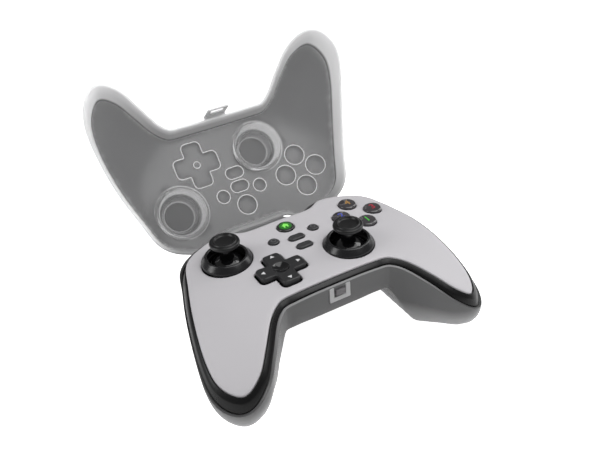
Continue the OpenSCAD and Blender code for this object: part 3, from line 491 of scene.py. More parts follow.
@dataclass
class Skin:
    """Points, triangles and a point mask that together become one mesh piece."""

    xyz: list[Floats] = field(default_factory=list)
    mask: list[Floats] = field(default_factory=list)
    tri: list[Ints] = field(default_factory=list)
    count: int = 0
    first_part: int = 0

    def part(self) -> None:
        """Let the triangles that are added from here on take the piece's second finish."""
        self.first_part = sum(len(rows) for rows in self.tri)

    def add(self, xyz: Floats, mask: Floats | float = 0.0) -> Ints:
        """Take in points.

        Args:
            xyz: The points.
            mask: One value, or one for each point.

        Returns:
            Numbers of the points.
        """
        self.xyz.append(np.asarray(xyz, float))
        self.mask.append(np.broadcast_to(np.asarray(mask, float), len(xyz)).copy())
        self.count += len(xyz)
        return np.arange(self.count - len(xyz), self.count)

    def band(self, a: Ints, b: Ints) -> None:
        """Join two closed loops of points; with b above a and both anticlockwise it faces outwards."""
        a2, b2 = np.roll(a, -1), np.roll(b, -1)
        self.tri += [np.column_stack([a, a2, b2]), np.column_stack([a, b2, b])]

    def stack(self, rings: Floats, mask: Floats | float = 0.0, loop: bool = False) -> Ints:
        """Join rings one after the other.

        Args:
            rings: Ring, point and x, y, z.
            mask: One value, one for each ring, or one for each point by ring.
            loop: Whether the last ring joins the first.

        Returns:
            Point numbers by ring.
        """
        values = np.asarray(mask, float)
        values = np.broadcast_to(values[:, None] if values.ndim == 1 else values, rings.shape[:2])
        ids = self.add(rings.reshape(-1, 3), values.ravel()).reshape(rings.shape[:2])
        for k in range(len(rings) - 1 + loop):
            self.band(ids[k], ids[(k + 1) % len(rings)])
        return ids

    def close(self, ring: Ints, rest: Floats, tri: Ints, up: bool, mask: Floats | float = 0.0) -> Ints:
        """Close a ring with a sheet.

        Args:
            ring: Point numbers of the ring, the sheet's first points.
            rest: The sheet's other points.
            tri: The sheet's triangles.
            up: Whether it faces up.
            mask: One value, or one for each of the other points.

        Returns:
            Numbers of the sheet's points.
        """
        ids = np.concatenate([ring, self.add(rest, mask)])
        self.tri.append(ids[tri] if up else ids[tri][:, ::-1])
        return ids

    def wall_holes(self, upper: Ints, lower: Ints, start: int, holes: Sequence[Floats]) -> None:
        """Join two sheets round their holes.

        Args:
            upper: Point numbers of the upper sheet.
            lower: Point numbers of the lower one, in the same order.
            start: Where the first hole's points start.
            holes: Loops of the holes.
        """
        for hole in holes:
            end = start + len(hole)
            self.band(upper[start:end], lower[start:end])
            start = end

    def fan(self, ring: Ints, tip: Ints) -> None:
        """Close a ring to a tip above it."""
        self.tri.append(np.column_stack([ring, np.roll(ring, -1), np.full(len(ring), tip[0])]))

    def turn(self, profile: Floats, centre: Sequence[float], along_x: bool = False, n: int = N_LARGE,
             mask: Floats | float = 0.0, loop: bool = False) -> None:
        """Carry a profile of radius and height round an axis through a centre.

        Args:
            profile: Radius and height, from the lower end outwards and up; radius 0 at an end makes a pole.
            centre: Point on the axis.
            along_x: Whether the axis is X, in place of Z.
            n: Points round.
            mask: One value, or one for each point of the profile.
            loop: Whether the profile closes on itself, as for a ring.
        """
        values = np.broadcast_to(np.asarray(mask, float), len(profile))
        first, last = profile[0, 0] < 1e-6 and not loop, profile[-1, 0] < 1e-6 and not loop
        body = slice(int(first), len(profile) - int(last))
        a = np.arange(n) * 2.0 * np.pi / n
        r, h = profile[body, 0][:, None], profile[body, 1][:, None]
        parts = [r * np.cos(a), r * np.sin(a), np.broadcast_to(h, (len(h), n))]
        axes = [parts[2], parts[0], parts[1]] if along_x else parts
        base = np.asarray(centre, float)
        ids = self.stack(np.stack(axes, 2) + base, values[body], loop)
        up = np.array([1.0, 0.0, 0.0]) if along_x else np.array([0.0, 0.0, 1.0])
        if first:
            self.fan(ids[0][::-1], self.add((base + up * profile[0, 1])[None], values[0]))
        if last:
            self.fan(ids[-1], self.add((base + up * profile[-1, 1])[None], values[-1]))

    def barrel(self, r: float, a: float, b: float) -> None:
        """Add a hinge barrel about the lid's hinge, from a to b along X, with rounded ends."""
        line = rounded(np.array([[0, a], [r, a], [r, b], [0, b]]), BARREL_ROUND, closed=False)
        self.turn(line, (0, *HINGE), along_x=True, n=N_SMALL)

    def extrude(self, outline: Floats, low: float, high: float, axes: Floats, base: Sequence[float],
                holes: Sequence[Floats] = (), edge: float = 0.25, mask: float = 0.0) -> None:
        """Add a plate with rounded edges: its loops carried along the third axis, drawn in at the two faces.

        Args:
            outline: Anticlockwise loop in the plate's own plane.
            low: Lower face along the third axis.
            high: Upper face.
            axes: Rows are where the plate's three axes point.
            base: Where its zero lies.
            holes: Anticlockwise loops cut through it.
            edge: Rounding of its edges.
            mask: Point mask.
        """
        loops = [outline, *[hole[::-1] for hole in holes]]
        s = np.linspace(0.0, np.pi / 2, 4)
        steps = [(-edge * (1 - math.sin(t)), low + edge * (1 - math.cos(t))) for t in s]
        steps += [(-edge * (1 - math.sin(t)), high - edge * (1 - math.cos(t))) for t in s[::-1]]
        base_at = np.asarray(base, float)
        for loop in loops:
            self.stack(np.stack([lift(spread(loop, d), h) for d, h in steps]) @ axes + base_at, mask)
        cuts = [spread(hole[::-1], -edge)[::-1] for hole in holes]
        plan, tri = sheet(spread(outline, -edge), cuts, pitch=PITCH)
        self.tri.append(self.add(lift(plan, high) @ axes + base_at, mask)[tri])
        self.tri.append(self.add(lift(plan, low) @ axes + base_at, mask)[tri][:, ::-1])

    def piece(self, name: str, finish: Finish, body: str, *nodes: str, sharp: float = SHARP,
              move: Callable[[Floats], Floats] | None = None, second: Finish | None = None) -> bpy.types.Object:
        """Make the mesh object, dress it and let it ride.

        Args:
            name: Name of the piece.
            finish: Its finish.
            body: Body that it rides on.
            nodes: CAD nodes that it stands for.
            sharp: Angle in degrees over which an edge is shaded sharp.
            move: Last move of its points, in millimetres.
            second: Finish of the triangles that came after part().

        Returns:
            The object, at the origin with its place in its mesh.
        """
        xyz = np.concatenate(self.xyz)
        xyz = (move(xyz) if move else xyz) + ORIGIN
        tri = np.concatenate(self.tri)
        mesh = bpy.data.meshes.new(name)
        mesh.from_pydata((xyz * MM).tolist(), [], tri.tolist())
        mesh.attributes.new("pale", "FLOAT", "POINT").data.foreach_set("value", np.concatenate(self.mask))
        made = dress(mesh, name, finish, body, *nodes, sharp=sharp)
        if second is not None:
            mesh.materials.append(second.material())
            slots = (np.arange(len(tri)) >= self.first_part).astype(np.int32)
            mesh.polygons.foreach_set("material_index", slots)
        return made


def dress(mesh: bpy.types.Mesh, name: str, finish: Finish, body: str, *nodes: str,
          sharp: float = SHARP) -> bpy.types.Object:
    """Put a mesh into the scene as a piece.

    Args:
        mesh: Mesh in the model's frame.
        name: Name of the piece.
        finish: Its finish.
        body: Body that it rides on.
        nodes: CAD nodes that it stands for.
        sharp: Angle in degrees over which an edge is shaded sharp.

    Returns:
        The new object.
    """
    mesh.shade_smooth()
    mesh.set_sharp_from_angle(angle=math.radians(sharp))
    mesh.materials.append(finish.material())
    made = bpy.data.objects.new(name, mesh)
    bpy.context.scene.collection.objects.link(made)
    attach(made, body)
    if nodes:
        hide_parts(*nodes)
    LOG.info("%s: %d triangles, on %s", name, len(mesh.polygons), body)
    return made


@dataclass(frozen=True)
class Mould:
    """Outline of the faceplate, which every shell follows, and the surfaces over and under it.

    Values with four entries hold at the front edge, the grip tip, the flank and the rear edge.
    """

    half: Profile = (
        (0, -26.4), (13.865, -26.4), (20.06, -26.4), (25.075, -26.4), (29.5, -26.4), (34, -27.6), (41, -33),
        (50, -43.6), (58.5, -51.8), (68.3, -53.4), (75.6, -42.6), (76.2, -28), (71.8, -7), (65.2, 14),
        (58.5, 31), (46, 38.3), (31, 40.8), (19.5, 35.4), (0, 35.2))
    steps: int = 8
    probe: float = 0.02
    spine_end: tuple[int, int] = (8, 9)
    places: tuple[float, ...] = (0, 0.62, 0.93, 1.07, 1.25, 1.5, 1.62, 2)
    bow: float = 0.00075
    crown_y: float = 12.0
    side: Pair = (5.0, 76.0)
    grip: Four = (0.55, -0.83, 30.3, 0.006)
    edge_round: Pair = (0.7, 2.6)
    depth: Pair = (22.5, 47.0)
    wall_t: float = 1.8
    fall_grip: Pair = (30.0, 46.0)
    fall_rear: Pair = (26.0, 38.0)
    fall_y: Pair = (4.0, 26.0)
    case_in: Four = (2.6, 3.8, 1.9, 3.9)
    rim_drop: Four = (3.4, 5.2, 5.2, 5.0)
    tuck: Four = (0.1, 0.75, 0.6, 0.13)
    room_at: Profile = ((0, 0), (1.5, 0), (1.62, 7.3), (1.86, 7.3), (1.93, 4.6), (2, 4.6))

    @cached_property
    def control(self) -> Floats:
        """Control points of the whole outline, anticlockwise from the front middle."""
        right = np.array(self.half, float)
        return np.concatenate([right, (right * [-1.0, 1.0])[-2:0:-1]])

    def curve(self, t: Floats) -> Floats:
        """Run a smooth closed curve through the control points: on each stretch a cubic that leaves and meets
        its two points along the line between their neighbours.

        Args:
            t: Places along the curve, counted in control points.

        Returns:
            Points of the curve.
        """
        c, n = self.control, len(self.control)
        i = np.floor(t).astype(int)
        s = (t - i)[:, None]
        p, q, r, u = c[(i - 1) % n], c[i % n], c[(i + 1) % n], c[(i + 2) % n]
        return 0.5 * (2 * q + (r - p) * s + (2 * p - 5 * q + 4 * r - u) * s ** 2
                      + (3 * q - p - 3 * r + u) * s ** 3)

    def outward(self, t: Floats) -> Floats:
        """Outward normal of that curve."""
        d = self.curve(t + self.probe) - self.curve(t - self.probe)
        return np.column_stack([d[:, 1], -d[:, 0]]) / np.linalg.norm(d, axis=1, keepdims=True)

    @cached_property
    def t(self) -> Floats:
        """Places along the outline, in control points."""
        return np.arange(len(self.control) * self.steps) / self.steps

    @cached_property
    def outline(self) -> Floats:
        """Points of the outline."""
        return self.curve(self.t)

    @cached_property
    def normals(self) -> Floats:
        """Outward normals at those points."""
        return self.outward(self.t)

    @cached_property
    def where(self) -> Floats:
        """0 at the front middle, 1 at the grip tip and 2 at the rear middle, on both sides."""
        return 2.0 - np.abs(2.0 - self.t * 4.0 / len(self.control))

    def eased(self, places: Sequence[float], values: Sequence[float]) -> Floats:
        """Lay values along the outline, straight between their places, and soften them twice over five points.

        Args:
            places: Where the values hold: 0 at the front middle, 1 at the grip tip, 2 at the rear middle.
            values: The values.

        Returns:
            One value for each outline point.
        """
        v = np.interp(self.where, places, values)
        k = np.array([1, 4, 6, 4, 1]) / 16.0
        for _ in range(2):
            v = np.convolve(np.concatenate([v[-2:], v, v[:2]]), k, "valid")
        return v

    def along(self, values: Four) -> Floats:
        """A value given at front, tip, flank and rear, level at each and eased between them."""
        return self.eased(self.places, np.repeat(values, 2))

    @cached_property
    def room(self) -> Floats:
        """Room left behind the housing for bumpers and triggers."""
        return self.eased(*np.array(self.room_at).T)

    @cached_property
    def spine(self) -> Floats:
        """Middle line of body and grips, half way between the front and the rear edge.

        Returns:
            Its point for each outline point.
        """
        n = len(self.outline)
        j = np.arange(n)
        h = np.where(j <= n // 2, j, n - j)
        last = (n // 4) * self.spine_end[0] // self.spine_end[1]
        c = np.minimum(np.where(h <= n // 4, h, n // 2 - h), last)
        middle = (self.outline[c] + self.outline[n // 2 - c]) / 2
        return middle * np.where(j <= n // 2, 1.0, -1.0)[:, None] ** np.array([1, 2])

    def plate_z(self, p: Floats) -> Floats:
        """Work out the faceplate's height: it bows down with the square of the way from a crown line, and
        drops with the sixth power of x and with the square of the way along the grips.

        Args:
            p: Plan points.

        Returns:
            Their heights.
        """
        x, y = np.abs(p[..., 0]), p[..., 1]
        s = np.maximum(0.0, self.grip[0] * x + self.grip[1] * y - self.grip[2])
        return -(self.bow * (x * x + np.maximum(self.crown_y - y, 0.0) ** 2)
                 + self.side[0] * (x / self.side[1]) ** 6 + self.grip[3] * s * s)

    def edge_z(self, d: Floats) -> Floats:
        """Drop of the rounded edge at a distance from it: a quarter of an ellipse."""
        u = np.clip(1.0 - d / self.edge_round[1], 0.0, 1.0)
        return self.edge_round[0] * (1.0 - np.sqrt(1.0 - u * u))

    def floor_z(self, p: Floats, rise: float = 0.0) -> Floats:
        """Work out the tray's floor: level in the middle and smoothly down to the grips and trigger pockets.

        Args:
            p: Plan points.
            rise: How far the low parts are lifted.

        Returns:
            Their heights.
        """
        m = smooth((p[..., 1] - self.fall_y[0]) / (self.fall_y[1] - self.fall_y[0]))
        a = self.fall_grip[0] + (self.fall_rear[0] - self.fall_grip[0]) * m
        b = self.fall_grip[1] + (self.fall_rear[1] - self.fall_grip[1]) * m
        return (self.wall_t - self.depth[0]
                - (self.depth[1] - self.depth[0] - rise) * smooth((np.abs(p[..., 0]) - a) / (b - a)))

    def offset(self, d: Floats | float) -> Floats:
        """Outline moved outwards."""
        return self.outline + self.normals * np.broadcast_to(d, len(self.outline))[:, None]

    @cached_property
    def rim_z(self) -> Floats:
        """Height of the tray's rim along the outline."""
        return self.plate_z(self.offset(self.along(self.case_in))) - self.along(self.rim_drop)

    def wall(self, q: float, off: Floats | float, up: float = 0.0, rise: float = 0.0) -> Floats:
        """Ring of the tray's wall: q runs from 0 at the rim to 1 at the floor, and the wall draws in towards
        the spine by a share that grows as 1 - sqrt(1 - q^2).

        Args:
            q: Share of the depth.
            off: Extra offset outwards.
            up: Extra height.
            rise: Lift of the floor in the grips.

        Returns:
            Points of the ring.
        """
        a = self.offset(self.along(self.case_in) + off)
        share = self.along(self.tuck) * (1.0 - math.sqrt(max(0.0, 1.0 - q * q)))
        p = a + (self.spine - a) * share[:, None]
        return np.column_stack([p, self.rim_z + (self.floor_z(p, rise) - self.rim_z) * q + up])

    def edge(self, offs: Four, drops: Four) -> Floats:
        """Ring at an offset from the outline, at a drop below the faceplate's edge there."""
        return np.column_stack([self.offset(self.along(offs)),
                                self.plate_z(self.outline) - self.edge_round[0] - self.along(drops)])


MOULD = Mould()


@dataclass(frozen=True)
class Layout:
    """Where the controls are and how large: centres, radii and gaps."""

    left_stick: Pair = (-40.3, 17.6)
    right_stick: Pair = (20.8, -7.4)
    cross: Pair = (-20.8, -7.4)
    cross_size: Pair = (26.2, 9.8)
    cross_round: float = 2.4
    cross_fillet: float = 0.9
    fillet_loss: float = 0.3
    least_fillet: float = 0.3
    face: Pair = (41.5, 16.2)
    face_step: float = 10.5
    face_r: float = 5.15
    home: Pair = (0.0, 25.7)
    home_r: float = 4.9
    small_x: float = 12.45
    small_y: float = 16.5
    small_r: float = 2.9
    pill_y: Pair = (13.15, 4.2)
    pill_size: Pair = (9.3, 4.7)
    collar_r: float = 13.9

    def faces(self) -> list[Pair]:
        """Centres of the face buttons: rear, right, front, left."""
        return [(self.face[0] + self.face_step * a, self.face[1] + self.face_step * b)
                for a, b in ((0, 1), (1, 0), (0, -1), (-1, 0))]

    def rounds(self) -> list[tuple[Pair, float]]:
        """Every round button: its centre and radius."""
        return ([(c, self.face_r) for c in self.faces()] + [(self.home, self.home_r)]
                + [((s * self.small_x, self.small_y), self.small_r) for s in (-1, 1)])

    def sticks(self) -> list[Pair]:
        """Centres of the two sticks."""
        return [self.left_stick, self.right_stick]

    def key_loops(self, extra: float) -> list[Floats]:
        """Draw a loop round every button, wider than it by a gap.

        Args:
            extra: The gap.

        Returns:
            Circles, and then the loops of the two pills.
        """
        a, b = self.pill_size
        return ([circle(c, r + extra) for c, r in self.rounds()]
                + [pill((0.0, y), a + 2 * extra, b + 2 * extra) for y in self.pill_y])

    def cross_loop(self, extra: float) -> Floats:
        """Draw a loop round the cross pad, wider than it by a gap.

        Args:
            extra: The gap.

        Returns:
            The loop, whose inner corners are cut less as it widens.
        """
        span, arm = self.cross_size
        fillet = max(self.least_fillet, self.cross_fillet - self.fillet_loss * extra)
        return cross(self.cross, span + 2 * extra, arm + 2 * extra, self.cross_round + extra, fillet)


LAYOUT = Layout()
FRONT_AXES = np.array([[1.0, 0, 0], [0, 0, 1.0], [0, -1.0, 0]])
SIDE_AXES = np.array([[0, 1.0, 0], [0, 0, 1.0], [1.0, 0, 0]])


def bar(length: float, width: float, r: float) -> Floats:
    """Rounded rectangle about its middle, anticlockwise."""
    a, b = length / 2, width / 2
    return rounded(np.array([[-a, -b], [a, -b], [a, b], [-a, b]]), r, 5)


@dataclass
class Tray:
    """Lower half of the case: a smoked clear tray that follows the housing, with a catch and a knuckle."""

    wall: float = 1.8
    rings: int = 22
    pitch: float = 3.5
    top_round: float = 0.3
    top_at: Pair = (0.85, 0.15)
    fade: Pair = (-23.0, -50.0)
    # painted highlight on the top edge, by front, tip, flank and rear
    painted_top_edge_highlight: Four = (0.6, 0.15, 0.0, 0.1)
    # painted light: the walls are painted paler by front, tip, flank and rear
    painted_wall_light: Four = (0.22, 0.24, 0.0, 0.06)
    barrel: Pair = (3.6, 7.7)
    web_sink: float = 0.2
    web_edge: float = 0.3
    catch: Pair = (12.4, 8.9)
    catch_arm: float = 2.7
    catch_drop: float = 0.6
    catch_z: Pair = (-0.6, 0.5)
    catch_round: Pair = (0.5, 0.2)
    catch_pale: float = 0.36
    nub: Pair = (5.6, 3.2)
    nub_up: float = 5.4
    nub_z: Pair = (-0.6, 1.4)
    nub_round: Pair = (0.6, 0.4)

    def painted_backdrop_light(self, z: Floats) -> Floats:
        """Painted light: the pale backdrop's light seen through the smoked tray, towards the floor: 0 above the
        first height of the fade, 1 below the second.
        """
        return smooth((self.fade[0] - z) / (self.fade[0] - self.fade[1]))

    def build(self) -> None:
        """Make the tray: outer and inner walls with a rounded top edge and two floors; then what it carries."""
        skin = Skin()
        q = np.sin(np.linspace(np.pi / 2, 0.0, self.rings))
        outer = np.stack([MOULD.wall(k, self.wall, -self.wall * k) for k in q])
        inner = np.stack([MOULD.wall(k, 0.0, 0.0) for k in q[::-1]])
        outer[-1, :, 2] -= self.top_round
        inner[0, :, 2] -= self.top_round
        top = np.stack([MOULD.wall(0.0, share * self.wall) for share in self.top_at])
        rings = np.concatenate([outer, top, inner])
        # painted light: the walls go pale towards the floor where the backdrop's light shows through, and are
        # painted paler at the front and grip tips than at the flanks
        mask = np.maximum(self.painted_backdrop_light(rings[..., 2]), MOULD.along(self.painted_wall_light))
        # painted highlight: the rounded top edge is painted paler, most at the front
        mask[len(outer):len(outer) + len(top)] = MOULD.along(self.painted_top_edge_highlight)
        ids = skin.stack(rings, mask)
        # painted light: the two floors take the backdrop's light by their height as well
        for k, drop, up in ((0, self.wall, False), (-1, 0.0, True)):
            plan, tri = sheet(rings[k][:, :2], pitch=self.pitch)
            rest = plan[len(ids[k]):]
            z = MOULD.floor_z(rest) - drop
            skin.close(ids[k], lift(rest, z), tri, up, self.painted_backdrop_light(z))
        skin.piece("tray_shell", Palette.TRAY, "tray", "case_tray")
        self.build_knuckle()
        self.build_catch()

    def build_knuckle(self) -> None:
        """Make the hinge barrel and the web that carries it on the rear wall."""
        skin = Skin()
        r, h = self.barrel
        skin.barrel(r, -h, h)
        near, far = MOULD.half[-1][1] + MOULD.case_in[3] + self.wall - self.web_sink, HINGE[0]
        web = np.array([[near, -r], [far, -r], [far, 0], [near, 0]])
        skin.extrude(web, -h, h, SIDE_AXES, (0, 0, HINGE[1]), edge=self.web_edge)
        skin.piece("tray_knuckle", Palette.NUB, "tray")

    def build_catch(self) -> None:
        """Make the raised U on the front wall, and the nub that holds the lid's loop."""
        front = MOULD.half[0][1] - MOULD.case_in[0] - self.wall
        base = (0.0, front, float(MOULD.rim_z[0]) - self.catch[1] - self.catch_drop)
        a, b, c = self.catch[0] / 2, self.catch[1], self.catch_arm
        u = np.array([[-a, 0], [a, 0], [a, b], [a - c, b], [a - c, c], [c - a, c], [c - a, b], [-a, b]])
        skin = Skin()
        cut, edge = self.catch_round
        skin.extrude(rounded(u, cut, 3), *self.catch_z, FRONT_AXES, base, edge=edge, mask=self.catch_pale)
        skin.piece("tray_catch", Palette.FROST, "tray")
        skin = Skin()
        cut, edge = self.nub_round
        skin.extrude(bar(*self.nub, cut) + [0, self.nub_up], *self.nub_z, FRONT_AXES, base, edge=edge)
        skin.piece("tray_nub", Palette.NUB, "tray")


@dataclass
class Lid:
    """Upper half of the case, open: a smoked panel with a pale bevelled wall, pockets, domes and a latch."""

    gap: float = 3.5
    wall: float = 1.8
    crease: Four = (0.4, 0.6, 0.6, 1.6)
    border: tuple[float, ...] = (1.0, 2.2, 3.6)
    # painted highlight: the panel is painted paler in a band along its edge
    painted_border_highlight: Pair = (0.4, 1.8)
    rim_gap: float = 0.5
    rim_in: Four = (0.8, 0.8, 1.2, 0.0)
    rim_out: Four = (2.3, 2.3, 2.7, 1.8)
    rim_cut: Pair = (0.25, 0.3)
    rim_band: float = 1.6
    fillet: float = 0.12
    bulge: float = 0.35
    # the wall's frosting, with painted shade: lower at the rear, where the open lid's lower part lies in shade
    wall_frost_and_rear_shade: Four = (0.55, 0.95, 1.0, 0.25)
    rim_frost_and_rear_shade: Four = (1.0, 1.0, 1.0, 0.2)
    smoke: float = 0.15
    mark_gap: float = 1.3
    mark_steps: tuple[float, ...] = (-0.9, -0.45, 0.0, 0.45)
    mark_reach: float = 24.0
    rib: Pair = (0.5, 0.35)
    rib_sink: float = 0.1
    recess: Pair = (0.55, 0.8)
    recess_out: float = 0.5
    boss_r: float = 2.1
    boss_n: int = 40
    dome_r: Pair = (17.2, 17.5)
    dome_n: int = 80
    dome_ease: float = 1.5
    dome_in: Profile = ((0, 15.1), (8.9, 15.1), (9.5, 14.4), (10.7, 8.9), (11.2, 8.5), (12.5, 8.5), (13.0, 8.1),
                        (14.3, 4.4), (15.1, 3.5), (40, 3.5))
    dome_out: Profile = ((0, 16.9), (10.6, 16.9), (11.2, 16.3), (12.5, 10.6), (13.0, 10.3), (14.3, 10.3),
                         (14.9, 9.9), (16.4, 5.8), (17.2, 5.3), (40, 5.3))
    # the dome walls are pale frosting; painted shade: the flat step between them is painted dark as its shadow
    dome_pale_and_step_shade: Profile = ((8.9, 0.0), (9.5, 0.7), (10.9, 0.72), (11.3, 0.06), (12.6, 0.06), (13.1, 0.9),
                          (16.4, 0.8))
    dome_rings: tuple[float, ...] = (4, 7, 8.4, 8.9, 9.2, 9.5, 9.9, 10.3, 10.7, 10.95, 11.2, 11.8, 12.5, 12.75,
                                     13.0, 13.5, 14.0, 14.3, 14.7, 15.1, 15.6, 16.4, 17.2)
    barrel_r: float = 3.6
    barrel: Pair = (8.1, 16.0)
    ear_root: Profile = ((-1.6, 3.4), (-1.6, 0.5), (0.6, 0.5))
    ear_eye: Profile = ((-3.5, 0.0), (0.0, 0.0), (2.4, 2.6))
    ear_back: Pair = (3.0, 3.0)
    ear_round: Pair = (0.4, 0.25)
    leaf_r: float = 4.3
    leaf_arc: Pair = (140.0, 60.0)
    leaf_lap: float = 0.2
    leaf_edge: float = 0.2
    latch: Pair = (14.0, 13.0)
    latch_at: Pair = (1.7, 3.0)
    latch_bar: float = 1.8
    latch_z: tuple[float, float, float] = (-3.0, 0.0, 1.2)
    latch_round: tuple[float, float, float] = (1.6, 0.5, 0.4)
    latch_edge: float = 0.3
    slot: Pair = (9.0, 4.6)
    trim_pale: float = 0.8

    @property
    def pockets(self) -> list[Floats]:
        """Loops of the pockets over the controls."""
        return LAYOUT.key_loops(self.mark_gap) + [LAYOUT.cross_loop(self.mark_gap)]

    def sunk(self, p: Floats) -> Floats:
        """Work out the shallow level pocket at each control, with smooth sides.

        Args:
            p: Plan points.

        Returns:
            Share of the recess by which the inner face is sunk there.
        """
        share = np.zeros(len(p))
        for loop in self.pockets:
            near = np.flatnonzero(np.abs(p - loop.mean(0)).max(1) < self.mark_reach)
            depth = inside(p[near], loop) * smooth(gap(p[near], loop) / self.recess[1])
            share[near] = np.maximum(share[near], depth)
        return share

    def faces(self, plan: Floats, crease: Floats) -> tuple[Floats, Floats, Floats]:
        """Work out the panel's faces: the faceplate's surface lifted by the gap, sunk at the pockets and
        raised at the two domes. A dome's profile of radius and height stands on the faceplate's height at its
        middle, and the surface goes over to that height a little outside it.

        Args:
            plan: Plan points.
            crease: Loop where panel and wall meet.

        Returns:
            Heights of the inner and of the outer face, and the point mask.
        """
        foot, reach = self.dome_r
        to_edge = gap(plan, crease)
        base = MOULD.plate_z(plan) - MOULD.edge_z(to_edge)
        under, over = np.full(len(plan), self.gap), np.full(len(plan), self.gap + self.wall)
        # painted highlight along the panel's edge, over the smoked base
        pale = np.maximum(self.smoke, self.painted_border_highlight[0] * smooth(1.0 - to_edge / self.painted_border_highlight[1]))
        sunk = self.sunk(plan)
        for centre in LAYOUT.sticks():
            r = np.hypot(plan[:, 0] - centre[0], plan[:, 1] - centre[1])
            near = r < reach
            middle = MOULD.plate_z(np.array(centre, float))
            base = np.where(near, base + (middle - base) * smooth((reach - r) / self.dome_ease), base)
            under = np.where(near, np.interp(r, *np.array(self.dome_in).T), under)
            over = np.where(near, np.interp(r, *np.array(self.dome_out).T), over)
            # painted shade on the domes' steps, pale frosting on their walls
            pale = np.where(r < foot, np.interp(r, *np.array([*self.dome_pale_and_step_shade, (foot, self.smoke)]).T), pale)
            sunk = np.where(near, 0.0, sunk)
        deep = self.recess[0]
        return base + under + deep * sunk, base + over + self.recess_out * deep * sunk, pale

    def build(self) -> None:
        """Make the shell, the ribs, the hinge and the latch."""
        self.build_shell()
        self.build_ribs()
        self.build_hinge()
        self.build_latch()

    def build_shell(self) -> None:
        """Make the panel, filled at its inner and outer height, and the wall in rings from there to the rim."""
        skin = Skin()
        crease = MOULD.offset(MOULD.along(self.crease))
        extra = [circle(c, r, self.dome_n) for c in LAYOUT.sticks() for r in self.dome_rings]
        for d in self.mark_steps:
            extra += LAYOUT.key_loops(self.mark_gap + d) + [LAYOUT.cross_loop(self.mark_gap + d)]
        extra += [MOULD.offset(MOULD.along(self.crease) - d)[::2] for d in self.border]
        plan, tri = sheet(crease, (), extra)
        low, high, pale = self.faces(plan, crease)
        first, last = skin.add(lift(plan, low), pale), skin.add(lift(plan, high), pale)
        skin.tri += [first[tri][:, ::-1], last[tri]]
        skin.part()
        n = len(crease)
        inner, outer = MOULD.along(self.rim_in), MOULD.along(self.rim_out)
        a, b = self.rim_cut
        rim = [MOULD.wall(0.0, d, self.rim_gap + up) for d, up in (
            (inner, a), (inner + a, 0.0), (outer - b, 0.0), (outer, b), (outer, self.rim_band))]
        top_in, top_out = lift(crease, low[:n]), lift(crease, high[:n])
        near_in, mid_in = top_in * (1 - self.fillet) + rim[0] * self.fillet, (top_in + rim[0]) / 2
        mid_out = (top_out + rim[-1]) / 2
        mid_out[:, :2] += self.bulge * MOULD.normals
        # frosting of the wall and rim, painted darker at the rear as shade
        wall_frost_and_rear_shade, rim_frost_and_rear_shade = MOULD.along(self.wall_frost_and_rear_shade), MOULD.along(self.rim_frost_and_rear_shade)
        ids = skin.stack(np.stack([near_in, mid_in, *rim, mid_out]),
                         np.stack([wall_frost_and_rear_shade, wall_frost_and_rear_shade, *[rim_frost_and_rear_shade] * len(rim), wall_frost_and_rear_shade]))
        skin.band(first[:n], ids[0])
        skin.band(ids[-1], last[:n])
        skin.piece("lid_shell", Palette.PANEL, "lid", "case_lid", "lid_wall", sharp=30.0, move=swing,
                   second=Palette.FROST)

    def build_ribs(self) -> None:
        """Make the ribs round the pockets and in the cross pocket: a rectangle carried round each loop."""
        skin = Skin()
        half, top = self.rib[0] / 2, self.rib_sink
        low = top - self.rib[1]
        for loop in [*self.pockets, circle(LAYOUT.cross, self.boss_r, self.boss_n)]:
            z = MOULD.plate_z(loop) + self.gap
            sides = ((-half, top), (-half, low), (half, low), (half, top))
            skin.stack(np.stack([lift(spread(loop, d), z + up) for d, up in sides]), self.trim_pale, loop=True)
        skin.piece("lid_ribs", Palette.FROST, "lid", move=swing)

    def build_hinge(self) -> None:
        """Make the two hinge knuckles with the ears that join them to the rear wall, and the leaf between the
        ears, which stops short of the tray's barrel on an arc about the hinge."""
        skin = Skin()
        rear = MOULD.half[-1][1] + MOULD.case_in[3] + self.wall
        corner = np.array([rear, MOULD.rim_z[len(MOULD.rim_z) // 2]])
        root, back = corner + self.ear_root, corner + np.array([self.ear_back])
        cut, edge = self.ear_round
        ear = rounded(np.concatenate([root, np.array(HINGE) + self.ear_eye, back]), cut, 3)
        for s in (-1, 1):
            a, b = sorted((s * self.barrel[0], s * self.barrel[1]))
            skin.barrel(self.barrel_r, a, b)
            skin.extrude(ear, a, b, SIDE_AXES, (0, 0, 0), edge=edge)
        turn = np.radians(np.linspace(*self.leaf_arc, 9))
        arc = np.array(HINGE) + self.leaf_r * np.column_stack([np.cos(turn), np.sin(turn)])
        half = self.barrel[0] + self.leaf_lap
        leaf = np.concatenate([root, arc, back])
        skin.extrude(leaf, -half, half, SIDE_AXES, (0, 0, 0), edge=self.leaf_edge)
        skin.piece("lid_hinge_leaf", Palette.FROST, "lid", move=swing)

    def build_latch(self) -> None:
        """Make the frosted latch loop at the middle of the lid's front edge."""
        skin = Skin()
        front = MOULD.half[0][1] - MOULD.case_in[0] - self.wall - self.latch_at[0]
        base = (0.0, front, float(MOULD.rim_z[0]) + self.latch_at[1])
        long, high = self.latch
        back, low, top = self.latch_z
        plate_cut, slot_cut, bar_cut = self.latch_round
        slot = bar(*self.slot, slot_cut) + [0, self.latch_bar + self.slot[1] / 2 - high]
        plate = bar(long, high, plate_cut) - [0, high / 2]
        skin.extrude(plate, low, top, FRONT_AXES, base, [slot], self.latch_edge, self.trim_pale)
        grip = bar(long, self.latch_bar, bar_cut) - [0, self.latch_bar / 2]
        skin.extrude(grip, back, top, FRONT_AXES, base, (), self.latch_edge, self.trim_pale)
        skin.piece("lid_latch", Palette.FROST, "lid", move=swing)


